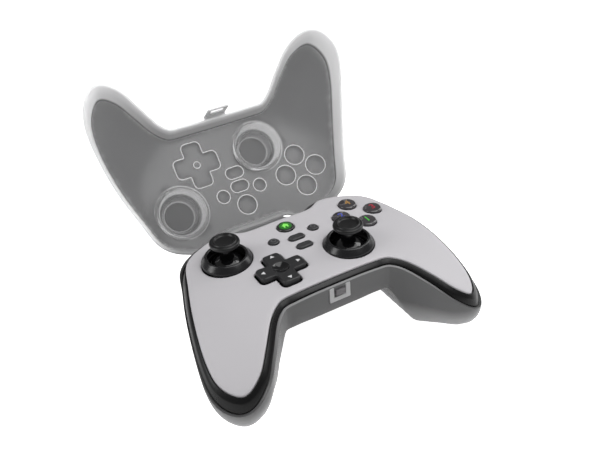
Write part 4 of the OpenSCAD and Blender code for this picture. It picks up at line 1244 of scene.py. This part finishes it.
@dataclass
class Housing:
    """Light faceplate on black front and back shells."""

    plate_t: float = 1.6
    shell_t: float = 1.8
    seat_gap: float = 0.6
    floor_gap: float = 0.9
    rim_over: Four = (0.3, 0.3, 1.1, -0.6)
    rim_lift: float = 0.5
    fold_out: Four = (0.86, 0.52, 0.52, 0.52)
    fold_drop: Four = (0.8, 0.34, 0.34, 0.34)
    fold_round: float = 0.3
    part_q: float = 0.3
    part_up: float = 0.1
    part_gap: Pair = (0.4, 0.94)
    deck: float = 1.95
    deck_holes: Pair = (11.8, 14.9)
    hole_round: float = 0.45
    hole_rings: tuple[float, ...] = (0.1, 0.22, 0.45, 1.0)
    edge_rings: tuple[float, ...] = (0.12, 0.4, 0.8, 1.4, 2.2, 3.2, 4.4)
    button_gap: float = 0.35
    cross_gap: float = 1.1
    collar_gap: float = 0.25
    grip_rise: float = 9.0
    back_rings: int = 18
    lip_out: Four = (0.9, 0.9, 0.9, 0.3)
    lip_drop: Four = (0.3, 0.3, 0.3, 3.4)
    lip_in: Four = (0.3, 0.3, 0.3, 0.1)
    lip_in_drop: Four = (0.4, 0.4, 0.4, 2.2)
    deck_in: Four = (-0.8, -0.8, -0.8, -6.3)

    def build(self) -> None:
        """Make the three shells."""
        self.build_plate()
        self.build_front()
        self.build_back()

    def openings(self, d: float) -> list[Floats]:
        """Loops of the faceplate's openings, wider by d."""
        return (LAYOUT.key_loops(self.button_gap + d) + [LAYOUT.cross_loop(self.cross_gap + d)]
                + [circle(c, LAYOUT.collar_r + self.collar_gap + d, N_LARGE) for c in LAYOUT.sticks()])

    def build_plate(self) -> None:
        """Make the faceplate: the outline filled at the plate's height, with rounded edges and an underside."""
        edge, cuts = MOULD.outline, self.openings(0.0)
        extra = [loop for d in self.hole_rings for loop in self.openings(d)]
        extra += [MOULD.offset(-d) for d in self.edge_rings]
        plan, tri = sheet(edge, cuts, extra)
        z = MOULD.plate_z(plan) - MOULD.edge_z(gap(plan, edge))
        u = np.clip(1.0 - np.min([gap(plan, loop) for loop in cuts], 0) / self.hole_round, 0.0, 1.0)
        skin = Skin()
        top = skin.add(lift(plan, z - self.hole_round * (1.0 - np.sqrt(1.0 - u * u))))
        low = skin.add(lift(plan, z - self.plate_t))
        skin.tri += [top[tri], low[tri][:, ::-1]]
        n = len(edge)
        skin.band(low[:n], top[:n])
        skin.wall_holes(top, low, n, cuts)
        skin.piece("plate_skin", Palette.PLATE, "gamepad", "faceplate")

    def shell(self, q: float, off: float, up: float, rise: float) -> Floats:
        """Ring of the housing's wall, inside the tray's by the seat gap and the room at the rear."""
        return MOULD.wall(q, off - MOULD.room, up, rise)

    def build_front(self) -> None:
        """Make the front shell: a wall with a two-facet rim round the faceplate, and the deck under it."""
        seat = -self.seat_gap
        rim = MOULD.wall(0.0, MOULD.along(self.rim_over) - MOULD.room, self.rim_lift)
        lip = MOULD.edge(self.lip_out, self.lip_drop)
        out, down = MOULD.along(self.fold_out), MOULD.along(self.fold_drop)
        fold = lip + (rim - lip) * np.column_stack([out, out, down])
        rings = np.stack([self.shell(self.part_q, seat - self.shell_t, self.part_up, self.grip_rise),
                          self.shell(self.part_q, seat, self.part_up, self.grip_rise),
                          self.shell(0.0, seat, self.rim_lift - self.part_up, 0.0), rim, fold, lip,
                          MOULD.edge(self.lip_in, self.lip_in_drop), MOULD.edge(self.lip_in, (self.deck,) * 4)])
        skin = Skin()
        fine = rounded(rings, self.fold_round, 3, closed=False)
        ids = skin.stack(fine)
        stick_r, cross_r = self.deck_holes
        holes = LAYOUT.key_loops(self.button_gap) + [circle(c, stick_r, N_LARGE) for c in LAYOUT.sticks()]
        holes.append(circle(LAYOUT.cross, cross_r, N_LARGE))
        low, n = self.deck + self.shell_t, len(rings[0])
        decks = []
        for edge, drop, up in ((fine[-1], self.deck, True), (MOULD.edge(self.deck_in, (low,) * 4), low, False)):
            plan, tri = sheet(edge[:, :2], holes, pitch=PITCH)
            z = MOULD.plate_z(plan[n:]) - MOULD.edge_z(gap(plan[n:], edge[:, :2])) - drop
            decks.append(skin.close(ids[-1] if up else skin.add(edge), lift(plan[n:], z), tri, up))
        skin.band(decks[1][:n], ids[0])
        skin.wall_holes(*decks, n, holes)
        skin.piece("front_skin", Palette.SHELL, "gamepad", "front_shell", sharp=50.0)

    def build_back(self) -> None:
        """Make the back shell: walls drawn in to the spine, shallower than the tray in the grips."""
        skin = Skin()
        q = np.sin(np.linspace(np.pi / 2, math.asin(self.part_q), self.back_rings))
        seat, floor = -self.seat_gap, self.floor_gap + self.shell_t
        outer = np.stack([self.shell(k, seat, self.floor_gap * k, self.grip_rise) for k in q])
        inner = np.stack([self.shell(k, seat - self.shell_t, floor * k, self.grip_rise) for k in q[::-1]])
        outer[-1, :, 2] -= self.part_gap[0]
        inner[0, :, 2] -= self.part_gap[1]
        rings = np.concatenate([outer, inner])
        ids = skin.stack(rings)
        for k, lift_by, up in ((0, self.floor_gap, False), (-1, floor, True)):
            plan, tri = sheet(rings[k][:, :2], pitch=PITCH)
            rest = plan[len(ids[k]):]
            skin.close(ids[k], lift(rest, MOULD.floor_z(rest, self.grip_rise) + lift_by), tri, up)
        skin.piece("back_skin", Palette.SHELL, "gamepad", "back_shell")


@dataclass
class Stick:
    """A thumb stick: cone collar in the faceplate, glossy dome and stem, rubber cap with a raised ring."""

    side: str
    centre: Pair
    collar: Profile = ((11.6, -0.7), (13.9, -0.7), (13.9, 0.7), (11.7, 3.7), (10.9, 4.0), (10.2, 3.6),
                       (10.6, 1.6))
    collar_round: float = 0.35
    pivot: float = 9.0
    foot: Pair = (2.0, -2.2)
    dome_r: float = 12.0
    dome_t: float = 1.2
    dome_n: int = 24
    dome_arc: Pair = (0.5, 46.0)
    dome_from: Pair = (0.19, 0.34)
    neck: tuple[float, float, float] = (3.9, 3.5, 2.6)
    neck_step: float = 0.2
    tenon: float = 1.2
    bore: Pair = (2.62, -2.18)
    cap_r: float = 8.2
    cap_under: float = 10.1
    cap_top: float = 13.5
    cap_side: Profile = ((-1.0, 0), (-0.2, 0.5), (0, 1.1), (0, 2.0), (-0.4, 2.6), (-1.1, 2.85), (-1.5, 2.75))
    cap_ring: Profile = ((-1.8, -0.2), (-2.2, 0), (-2.7, -0.05), (-3.1, -0.7), (-3.5, -1.05))
    cap_dish: Profile = ((2.6, -1.3), (0, -1.4))
    cap_round: float = 0.5

    def build(self) -> None:
        """Make the collar, the stem with its dome, and the cap: each a profile carried round the axis."""
        at = (*self.centre, float(MOULD.plate_z(np.array(self.centre, float))))
        skin = Skin()
        skin.turn(rounded(np.array(self.collar), self.collar_round), at, loop=True)
        skin.piece(f"{self.side}_collar_ring", Palette.COLLAR, "gamepad", f"{self.side}_collar")
        self.build_stem((*self.centre, at[2] - self.pivot))
        skin = Skin()
        under, over = [self.cap_r, self.cap_under], [self.cap_r, self.cap_top]
        bore, roof = self.bore[0], self.cap_top + self.bore[1]
        line = np.concatenate([[[bore, self.cap_under]], np.array(self.cap_side) + under,
                               np.array(self.cap_ring) + over, np.array(self.cap_dish) + [0, self.cap_top]])
        line = rounded(line, self.cap_round, closed=False)
        skin.turn(np.concatenate([[[0, roof], [bore, roof]], line]), at)
        skin.piece(f"{self.side}_cap_rubber", Palette.RUBBER, f"{self.side}_stick", f"{self.side}_cap",
                   sharp=60.0)

    def build_stem(self, at: Point) -> None:
        """Make the stem: a foot, the two sides of a spherical dome, a neck and a tenon in the cap.

        Args:
            at: Point that the stick tilts about.
        """
        a = np.radians(np.linspace(*self.dome_arc, self.dome_n))
        rays = np.column_stack([np.sin(a), np.cos(a)])
        in_r, top = self.dome_r - self.dome_t, self.pivot + self.cap_under
        under, over = in_r * rays[a > self.dome_from[0]], self.dome_r * rays[a > self.dome_from[1]]
        (root, low), (base, neck, pin) = self.foot, self.neck
        stem = np.concatenate([[[0, low], [root, low], [root, in_r]], under, over[::-1],
                               [[base, self.dome_r + self.neck_step], [neck, top], [pin, top],
                                [pin, top + self.tenon], [0, top + self.tenon]]])
        skin = Skin()
        skin.turn(stem, at)
        skin.piece(f"{self.side}_dome_stem", Palette.GLOSS, f"{self.side}_stick", f"{self.side}_stem")


@dataclass
class CrossPad:
    """The cross pad: a grey cross with a glossy black dish and four arrow marks."""

    top: float = 2.0
    thick: float = 3.0
    pitch: float = 1.1
    edge: float = 0.7
    edge_rings: tuple[float, ...] = (0.08, 0.2, 0.4, 0.7, 1.1)
    arm_drop: float = 0.25
    arm_from: Pair = (4.5, 6.0)
    dish: Pair = (8.0, 6.5)
    dish_rings: tuple[float, ...] = (1, 2, 3, 4)
    rim_rings: tuple[float, ...] = (-0.3, -0.05, 0.05, 0.3)
    dish_skin: Pair = (-0.25, 0.03)
    dish_gap: float = 0.1
    dish_n: int = 16
    pivot: float = -5.6
    post: Profile = ((0, -2.5), (3.8, -2.5), (3.8, 5.0), (0, 5.0))
    arrow_at: float = 10.4
    arrow_size: float = 2.1
    arrow: Profile = ((-0.62, -0.45), (0.62, -0.45), (0.0, 0.55))
    arrow_round: float = 0.25
    arrow_z: Pair = (-0.1, 0.05)

    @property
    def z(self) -> float:
        """Height of the faceplate at the cross pad."""
        return float(MOULD.plate_z(np.array(LAYOUT.cross, float)))

    @property
    def rim(self) -> float:
        """Radius of the dish's rim."""
        return math.sqrt(self.dish[0] ** 2 - self.dish[1] ** 2)

    def bowl(self, r: Floats) -> Floats:
        """Height of the spherical dish above the faceplate, over its radius."""
        return self.top + self.dish[1] - self.arm_drop - np.sqrt(np.maximum(self.dish[0] ** 2 - r * r, 0.0))

    def height(self, p: Floats, loop: Floats) -> Floats:
        """Work out the top: arms that rise a little outwards, a quarter-round edge and a spherical dish.

        Args:
            p: Plan points.
            loop: Outline of the cross.

        Returns:
            Height of each point.
        """
        u = np.clip(1.0 - gap(p, loop) / self.edge, 0.0, 1.0)
        r = np.hypot(*(p - np.array(LAYOUT.cross)).T)
        z = self.z + self.top - self.edge * (1.0 - np.sqrt(1.0 - u * u))
        z -= self.arm_drop * (1 - smooth((r - self.arm_from[0]) / self.arm_from[1]))
        return np.where(r < self.rim, np.minimum(z, self.z + self.bowl(r)), z)

    def build(self) -> None:
        """Make the cross on its post, the dish's glossy skin and the arrows."""
        loop = LAYOUT.cross_loop(0.0)
        extra = [LAYOUT.cross_loop(-d) for d in self.edge_rings]
        radii = (*self.dish_rings, *(self.rim + d for d in self.rim_rings))
        extra += [circle(LAYOUT.cross, r) for r in radii]
        plan, tri = sheet(loop, (), extra, self.pitch)
        skin = Skin()
        upper = skin.add(lift(plan, self.height(plan, loop)))
        lower = skin.add(lift(plan, self.z + self.top - self.thick))
        skin.tri += [upper[tri], lower[tri][:, ::-1]]
        skin.band(lower[:len(loop)], upper[:len(loop)])
        skin.turn(np.array(self.post), (*LAYOUT.cross, self.z + self.pivot), n=N_SMALL)
        skin.piece("cross_pad", Palette.CROSS, "dpad", "dpad_cap")
        skin = Skin()
        r = np.linspace(0.0, self.rim - self.dish_gap, self.dish_n)
        under, over = (np.column_stack([r, self.bowl(r) + up]) for up in self.dish_skin)
        skin.turn(np.concatenate([under, over[::-1]]), (*LAYOUT.cross, self.z), n=N_MIDDLE)
        skin.piece("cross_dish", Palette.GLOSS, "dpad", sharp=50.0)
        skin = Skin()
        arrow = rounded(self.arrow_size * np.array(self.arrow), self.arrow_round, 3) + [0, self.arrow_at]
        base = (*LAYOUT.cross, self.z + self.top)
        for k in range(4):
            skin.extrude(turned(arrow, k), *self.arrow_z, np.eye(3), base, edge=MARK_EDGE)
        skin.piece("cross_arrows", Palette.MARK, "dpad")


@dataclass
class Buttons:
    """Face buttons, home button, small rounds and pills, with their marks."""

    key_low: float = -6.0
    pin_r: float = 2.3
    pin_low: float = -12.5
    flange: Pair = (0.9, 1.0)
    brim: Pair = (0.45, 0.4)
    key_round: float = 0.35
    dome_n: int = 14
    face_top: Pair = (1.9, 0.45)
    flat_top: Pair = (1.0, 0.2)
    digit_size: float = 6.44
    digit_half: float = 0.12
    digit_sink: float = 0.06
    digit_bold: float = 0.08
    digit_n: int = 6
    lit_r: float = 3.6
    sign: Profile = ((-1.5, -1.7), (-0.5, -1.7), (-0.5, -0.5), (0.5, -0.5), (0.5, -1.7), (1.5, -1.7),
                     (1.5, 0.2), (2.3, 0.2), (0, 2.3), (-2.3, 0.2), (-1.5, 0.2))
    sign_round: float = 0.15
    sign_z: Pair = (-0.15, 0.05)
    ring: Profile = ((1.05, -0.1), (1.45, -0.1), (1.45, 0.04), (1.05, 0.04))
    pill_top: float = 0.95
    pill_edge: float = 0.55
    pill_lap: float = 0.5
    pill_n: int = 24
    marks: tuple[tuple[str, str, Finish], ...] = (
        ("face_rear", "4", Palette.AMBER), ("face_right", "3", Palette.RED), ("face_front", "1", Palette.GREEN),
        ("face_left", "2", Palette.BLUE))

    def build(self) -> None:
        """Make every button and its mark."""
        for (name, digit, finish), centre in zip(self.marks, LAYOUT.faces()):
            top = self.round_key(name, centre, LAYOUT.face_r, self.face_top, Palette.KEY)
            dress(self.numeral(digit, centre, top), f"{name}_mark", finish, name)
        top = self.round_key("home_button", LAYOUT.home, LAYOUT.home_r, self.flat_top, Palette.HOME,
                             self.lit_r)
        self.sign_on(top)
        for side, name in ((-1, "small_left"), (1, "small_right")):
            centre = (side * LAYOUT.small_x, LAYOUT.small_y)
            top = self.round_key(name, centre, LAYOUT.small_r, self.flat_top, Palette.SMALL)
            skin = Skin()
            skin.turn(np.array(self.ring), (*centre, top), n=N_SMALL, loop=True)
            skin.piece(f"{name}_ring", Palette.RING_MARK, name)
        for y, name in zip(LAYOUT.pill_y, ("pill_upper", "pill_lower")):
            self.pill_key(name, y)

    def round_key(self, name: str, centre: Pair, r: float, top: Pair, finish: Finish,
                  disc: float | None = None) -> float:
        """Make a round button: a pin, a flange, a wall and a dome that drops with the square of the radius.

        Args:
            name: CAD node and body.
            centre: Its centre.
            r: Its radius.
            top: Its top above the faceplate, and how far the dome drops to its edge.
            finish: Its finish.
            disc: Radius within which the point mask is 0; it is 1 outside it.

        Returns:
            Height of its top at the middle.
        """
        z = float(MOULD.plate_z(np.array(centre, float)))
        s = np.linspace(1.0, 0.0, self.dome_n)
        dome = np.column_stack([(r - self.brim[0]) * s, top[0] - top[1] * s * s])
        wide, thick = self.flange
        side = np.array([[r + wide, self.key_low], [r + wide, self.key_low + thick], [r, self.key_low + thick],
                         [r, top[0] - top[1] - self.brim[1]], dome[0]])
        lower = np.array([[0, self.pin_low - z], [self.pin_r, self.pin_low - z], [self.pin_r, self.key_low]])
        line = np.concatenate([lower, rounded(side, self.key_round, closed=False), dome[1:]])
        skin = Skin()
        mask = 0.0 if disc is None else (line[:, 0] > disc).astype(float)
        skin.turn(line, (*centre, z), n=N_MIDDLE, mask=mask)
        skin.piece(f"{name}_cap", finish, name, name, sharp=45.0)
        return z + top[0]

    def pill_key(self, name: str, y: float) -> None:
        """Make a pill-shaped button on its pin.

        Args:
            name: CAD node and body.
            y: Its place on the middle line.
        """
        z = float(MOULD.plate_z(np.array([0.0, y])))
        low, r = z + self.key_low, self.pin_r
        skin = Skin()
        outline = pill((0, y), *LAYOUT.pill_size, self.pill_n)
        skin.extrude(outline, low, z + self.pill_top, np.eye(3), (0, 0, 0), edge=self.pill_edge)
        top = low + self.pill_lap
        skin.turn(np.array([[0, self.pin_low], [r, self.pin_low], [r, top], [0, top]]), (0, y, 0), n=N_SMALL)
        skin.piece(f"{name}_bar", Palette.SMALL, name, name)

    def numeral(self, text: str, centre: Pair, top: float) -> bpy.types.Mesh:
        """Make the mesh of a plain numeral that is let level into the top of a cap.

        Args:
            text: The numeral.
            centre: Where its middle lies.
            top: Height of the cap at its middle.

        Returns:
            The mesh in the model's frame.
        """
        font = bpy.data.curves.new("numeral", "FONT")
        font.body, font.size, font.align_x, font.align_y = text, self.digit_size, "CENTER", "CENTER"
        font.extrude, font.offset, font.resolution_u = self.digit_half, self.digit_bold, self.digit_n
        holder = bpy.data.objects.new("numeral", font)
        mesh = bpy.data.meshes.new_from_object(holder)
        bpy.data.objects.remove(holder)
        bpy.data.curves.remove(font)
        co = np.empty(len(mesh.vertices) * 3)
        mesh.vertices.foreach_get("co", co)
        co = co.reshape(-1, 3)
        co[:, :2] += np.array(centre) - (co[:, :2].min(0) + co[:, :2].max(0)) / 2
        co[:, 2] += top - self.digit_sink
        mesh.vertices.foreach_set("co", ((co + ORIGIN) * MM).ravel())
        mesh.update()
        return mesh

    def sign_on(self, top: float) -> None:
        """Make the lit house sign on the home button: a roof over a square with a door.

        Args:
            top: Height of the button at its middle.
        """
        skin = Skin()
        sign = rounded(np.array(self.sign), self.sign_round, 2)
        skin.extrude(sign, *self.sign_z, np.eye(3), (*LAYOUT.home, top), edge=MARK_EDGE)
        skin.piece("home_sign", Palette.HOUSE, "home_button")


@dataclass
class Shoulders:
    """The two bumpers behind the shoulders."""

    stations: Pair = (16.5, 14.5)
    rings: int = 60
    section: Profile = ((1.7, -6.4), (-2.6, -6.4), (-2.6, -13), (2.6, -13), (3.0, -9), (3.0, -4.2), (2.4, -2.8),
                        (1.8, -2.9))
    section_round: float = 0.55
    eye: Pair = (18.6, 35.8)
    eye_ring: Profile = ((1.24, -12.7), (2.5, -12.7), (2.5, -6.6), (1.24, -6.6))
    eye_round: float = 0.2

    def build(self) -> None:
        """Make both bumpers: the section carried along the outline's rear, and the eye that they turn on."""
        t = np.linspace(*self.stations, self.rings)
        o, n = MOULD.curve(t), MOULD.outward(t)
        line = rounded(np.array(self.section), self.section_round)
        plan = o[:, None] + n[:, None] * line[None, :, :1]
        z = MOULD.plate_z(o)[:, None] + line[None, :, 1]
        rings = np.concatenate([plan, z[..., None]], 2)
        for side, flip in (("left", -1.0), ("right", 1.0)):
            skin = Skin()
            mirrored = rings * [flip, 1.0, 1.0]
            ids = skin.stack(mirrored if flip > 0 else mirrored[:, ::-1])
            for ring, back in ((ids[0], True), (ids[-1], False)):
                k = np.arange(1, len(ring) - 1)
                fan = np.column_stack([np.full(len(k), ring[0]), ring[k], ring[k + 1]])
                skin.tri.append(fan[:, ::-1] if back else fan)
            eye = (flip * self.eye[0], self.eye[1], 0.0)
            skin.turn(rounded(np.array(self.eye_ring), self.eye_round, 3), eye, n=N_SMALL, loop=True)
            skin.piece(f"{side}_bumper_bar", Palette.SHELL, f"{side}_bumper", f"{side}_bumper", sharp=50.0)


class Carried:
    """CAD nodes that stay as they are and only get their finish."""

    FINISHES: dict[str, Finish] = {
        "hinge_pin": Palette.STEEL, "rear_bridge": Palette.SHELL, "usb_port": Palette.STEEL,
        "main_board": Palette.BOARD, "battery": Palette.CELL, "home_light": Palette.LAMP,
        "face_membrane": Palette.MEMBRANE,
        "centre_membrane": Palette.MEMBRANE, "housing_screws": Palette.STEEL, "dpad_base": Palette.INNER,
        "dpad_rocker": Palette.STEEL}
    SIDES: dict[str, Finish] = {
        "module": Palette.STEEL, "yoke": Palette.INNER, "cradle": Palette.STEEL, "trigger": Palette.SHELL,
        "trigger_bracket": Palette.INNER, "trigger_pin": Palette.STEEL, "motor": Palette.STEEL,
        "weight": Palette.INNER}

    def dress(self) -> None:
        """Give each node that still shows its finish."""
        finishes = dict(self.FINISHES)
        for side in ("left", "right"):
            finishes.update({f"{side}_{name}": finish for name, finish in self.SIDES.items()})
        for name, node in frame["nodes"].items():
            finish = finishes.get(name, Palette.INNER)
            node.data.materials.clear()
            node.data.materials.append(finish.material())
        LOG.info("finishes on %d carried nodes", len(finishes))


@dataclass
class Studio:
    """Floor, soft lights and the camera at the photograph's place; lights are in metres."""

    eye: Point = (-157.458, -300.636, 237.968)
    turn: Point = (56.66529, 4.01143, -29.69392)
    lens: float = 46.331
    sensor: float = 36.0
    clip: float = 0.01
    half_floor: float = 40.0
    floor_glow: float = 0.45
    sky_glow: float = 0.22
    seen_glow: float = 0.9
    aim: Point = (0.0, 0.0, 0.05)
    lights: tuple[tuple[str, Point, Pair, float], ...] = (
        ("top_box", (0.18, -0.2, 0.9), (0.9, 0.7), 4.5), ("front_box", (0.42, -0.58, 0.80), (0.4, 0.35), 2.2),
        ("left_strip", (-0.8, 0.15, 0.5), (0.3, 0.7), 3.3), ("right_strip", (0.8, 0.0, 0.5), (0.3, 0.7), 2.6))

    def glow(self, tree: bpy.types.NodeTree, base: float, socket: bpy.types.NodeSocket) -> None:
        """Let a backdrop shine with a base strength on the object, and stronger where it is itself seen.

        Args:
            tree: Node tree of the backdrop.
            base: Strength with which it lights the object.
            socket: Strength socket to feed.
        """
        path, total = tree.nodes.new("ShaderNodeLightPath"), tree.nodes.new("ShaderNodeMath")
        total.operation = "MULTIPLY_ADD"
        total.inputs[1].default_value, total.inputs[2].default_value = self.seen_glow, base
        tree.links.new(path.outputs["Is Camera Ray"], total.inputs[0])
        tree.links.new(total.outputs[0], socket)

    def light(self, name: str, at: Point, size: Pair, power: float) -> None:
        """Add a soft rectangular light that looks at the object.

        Args:
            name: Its name.
            at: Its place.
            size: Its two sides.
            power: Its power in watts.
        """
        lamp = bpy.data.lights.new(name, "AREA")
        lamp.shape, lamp.size, lamp.size_y, lamp.energy = "RECTANGLE", *size, power
        holder = bpy.data.objects.new(name, lamp)
        holder.location = at
        holder.rotation_euler = (Vector(self.aim) - Vector(at)).to_track_quat("-Z", "Y").to_euler()
        bpy.context.scene.collection.objects.link(holder)

    def build(self) -> None:
        """Make the floor, the sky, the lights and the camera."""
        self.build_floor()
        self.build_sky()
        for light in self.lights:
            self.light(*light)
        self.build_camera()
        bpy.context.scene.view_settings.view_transform = "Standard"

    def build_floor(self) -> None:
        """Make the pale floor, which shines a little by itself."""
        mesh, d = bpy.data.meshes.new("floor"), self.half_floor
        mesh.from_pydata([(-d, -d, 0), (d, -d, 0), (d, d, 0), (-d, d, 0)], [], [(0, 1, 2, 3)])
        paper = Palette.PAPER.material()
        shader = paper.node_tree.nodes["Principled BSDF"]
        self.glow(paper.node_tree, self.floor_glow, shader.inputs["Emission Strength"])
        mesh.materials.append(paper)
        floor = bpy.data.objects.new("floor", mesh)
        bpy.context.scene.collection.objects.link(floor)

    def build_sky(self) -> None:
        """Make the white world."""
        world = bpy.data.worlds.new("studio")
        world.use_nodes = True
        sky = world.node_tree.nodes["Background"]
        sky.inputs["Color"].default_value = (1.0, 1.0, 1.0, 1.0)
        self.glow(world.node_tree, self.sky_glow, sky.inputs["Strength"])
        bpy.context.scene.world = world

    def build_camera(self) -> None:
        """Put the camera where the photograph was taken from."""
        camera = bpy.data.cameras.new("camera")
        camera.lens, camera.sensor_width, camera.sensor_fit = self.lens, self.sensor, "HORIZONTAL"
        camera.clip_start = self.clip
        holder = bpy.data.objects.new("camera", camera)
        holder.location = (np.array(self.eye) + ORIGIN) * MM
        holder.rotation_euler = Euler([math.radians(a) for a in self.turn], "XYZ")
        bpy.context.scene.collection.objects.link(holder)
        bpy.context.scene.camera = holder


def main() -> None:
    """Build every piece in order, then the studio."""
    logging.basicConfig(level=logging.INFO, format="%(name)s: %(message)s")
    Carried().dress()
    Tray().build()
    Lid().build()
    Housing().build()
    Stick("left", LAYOUT.left_stick).build()
    Stick("right", LAYOUT.right_stick).build()
    CrossPad().build()
    Buttons().build()
    Shoulders().build()
    Studio().build()


if __name__ == "__main__":
    main()
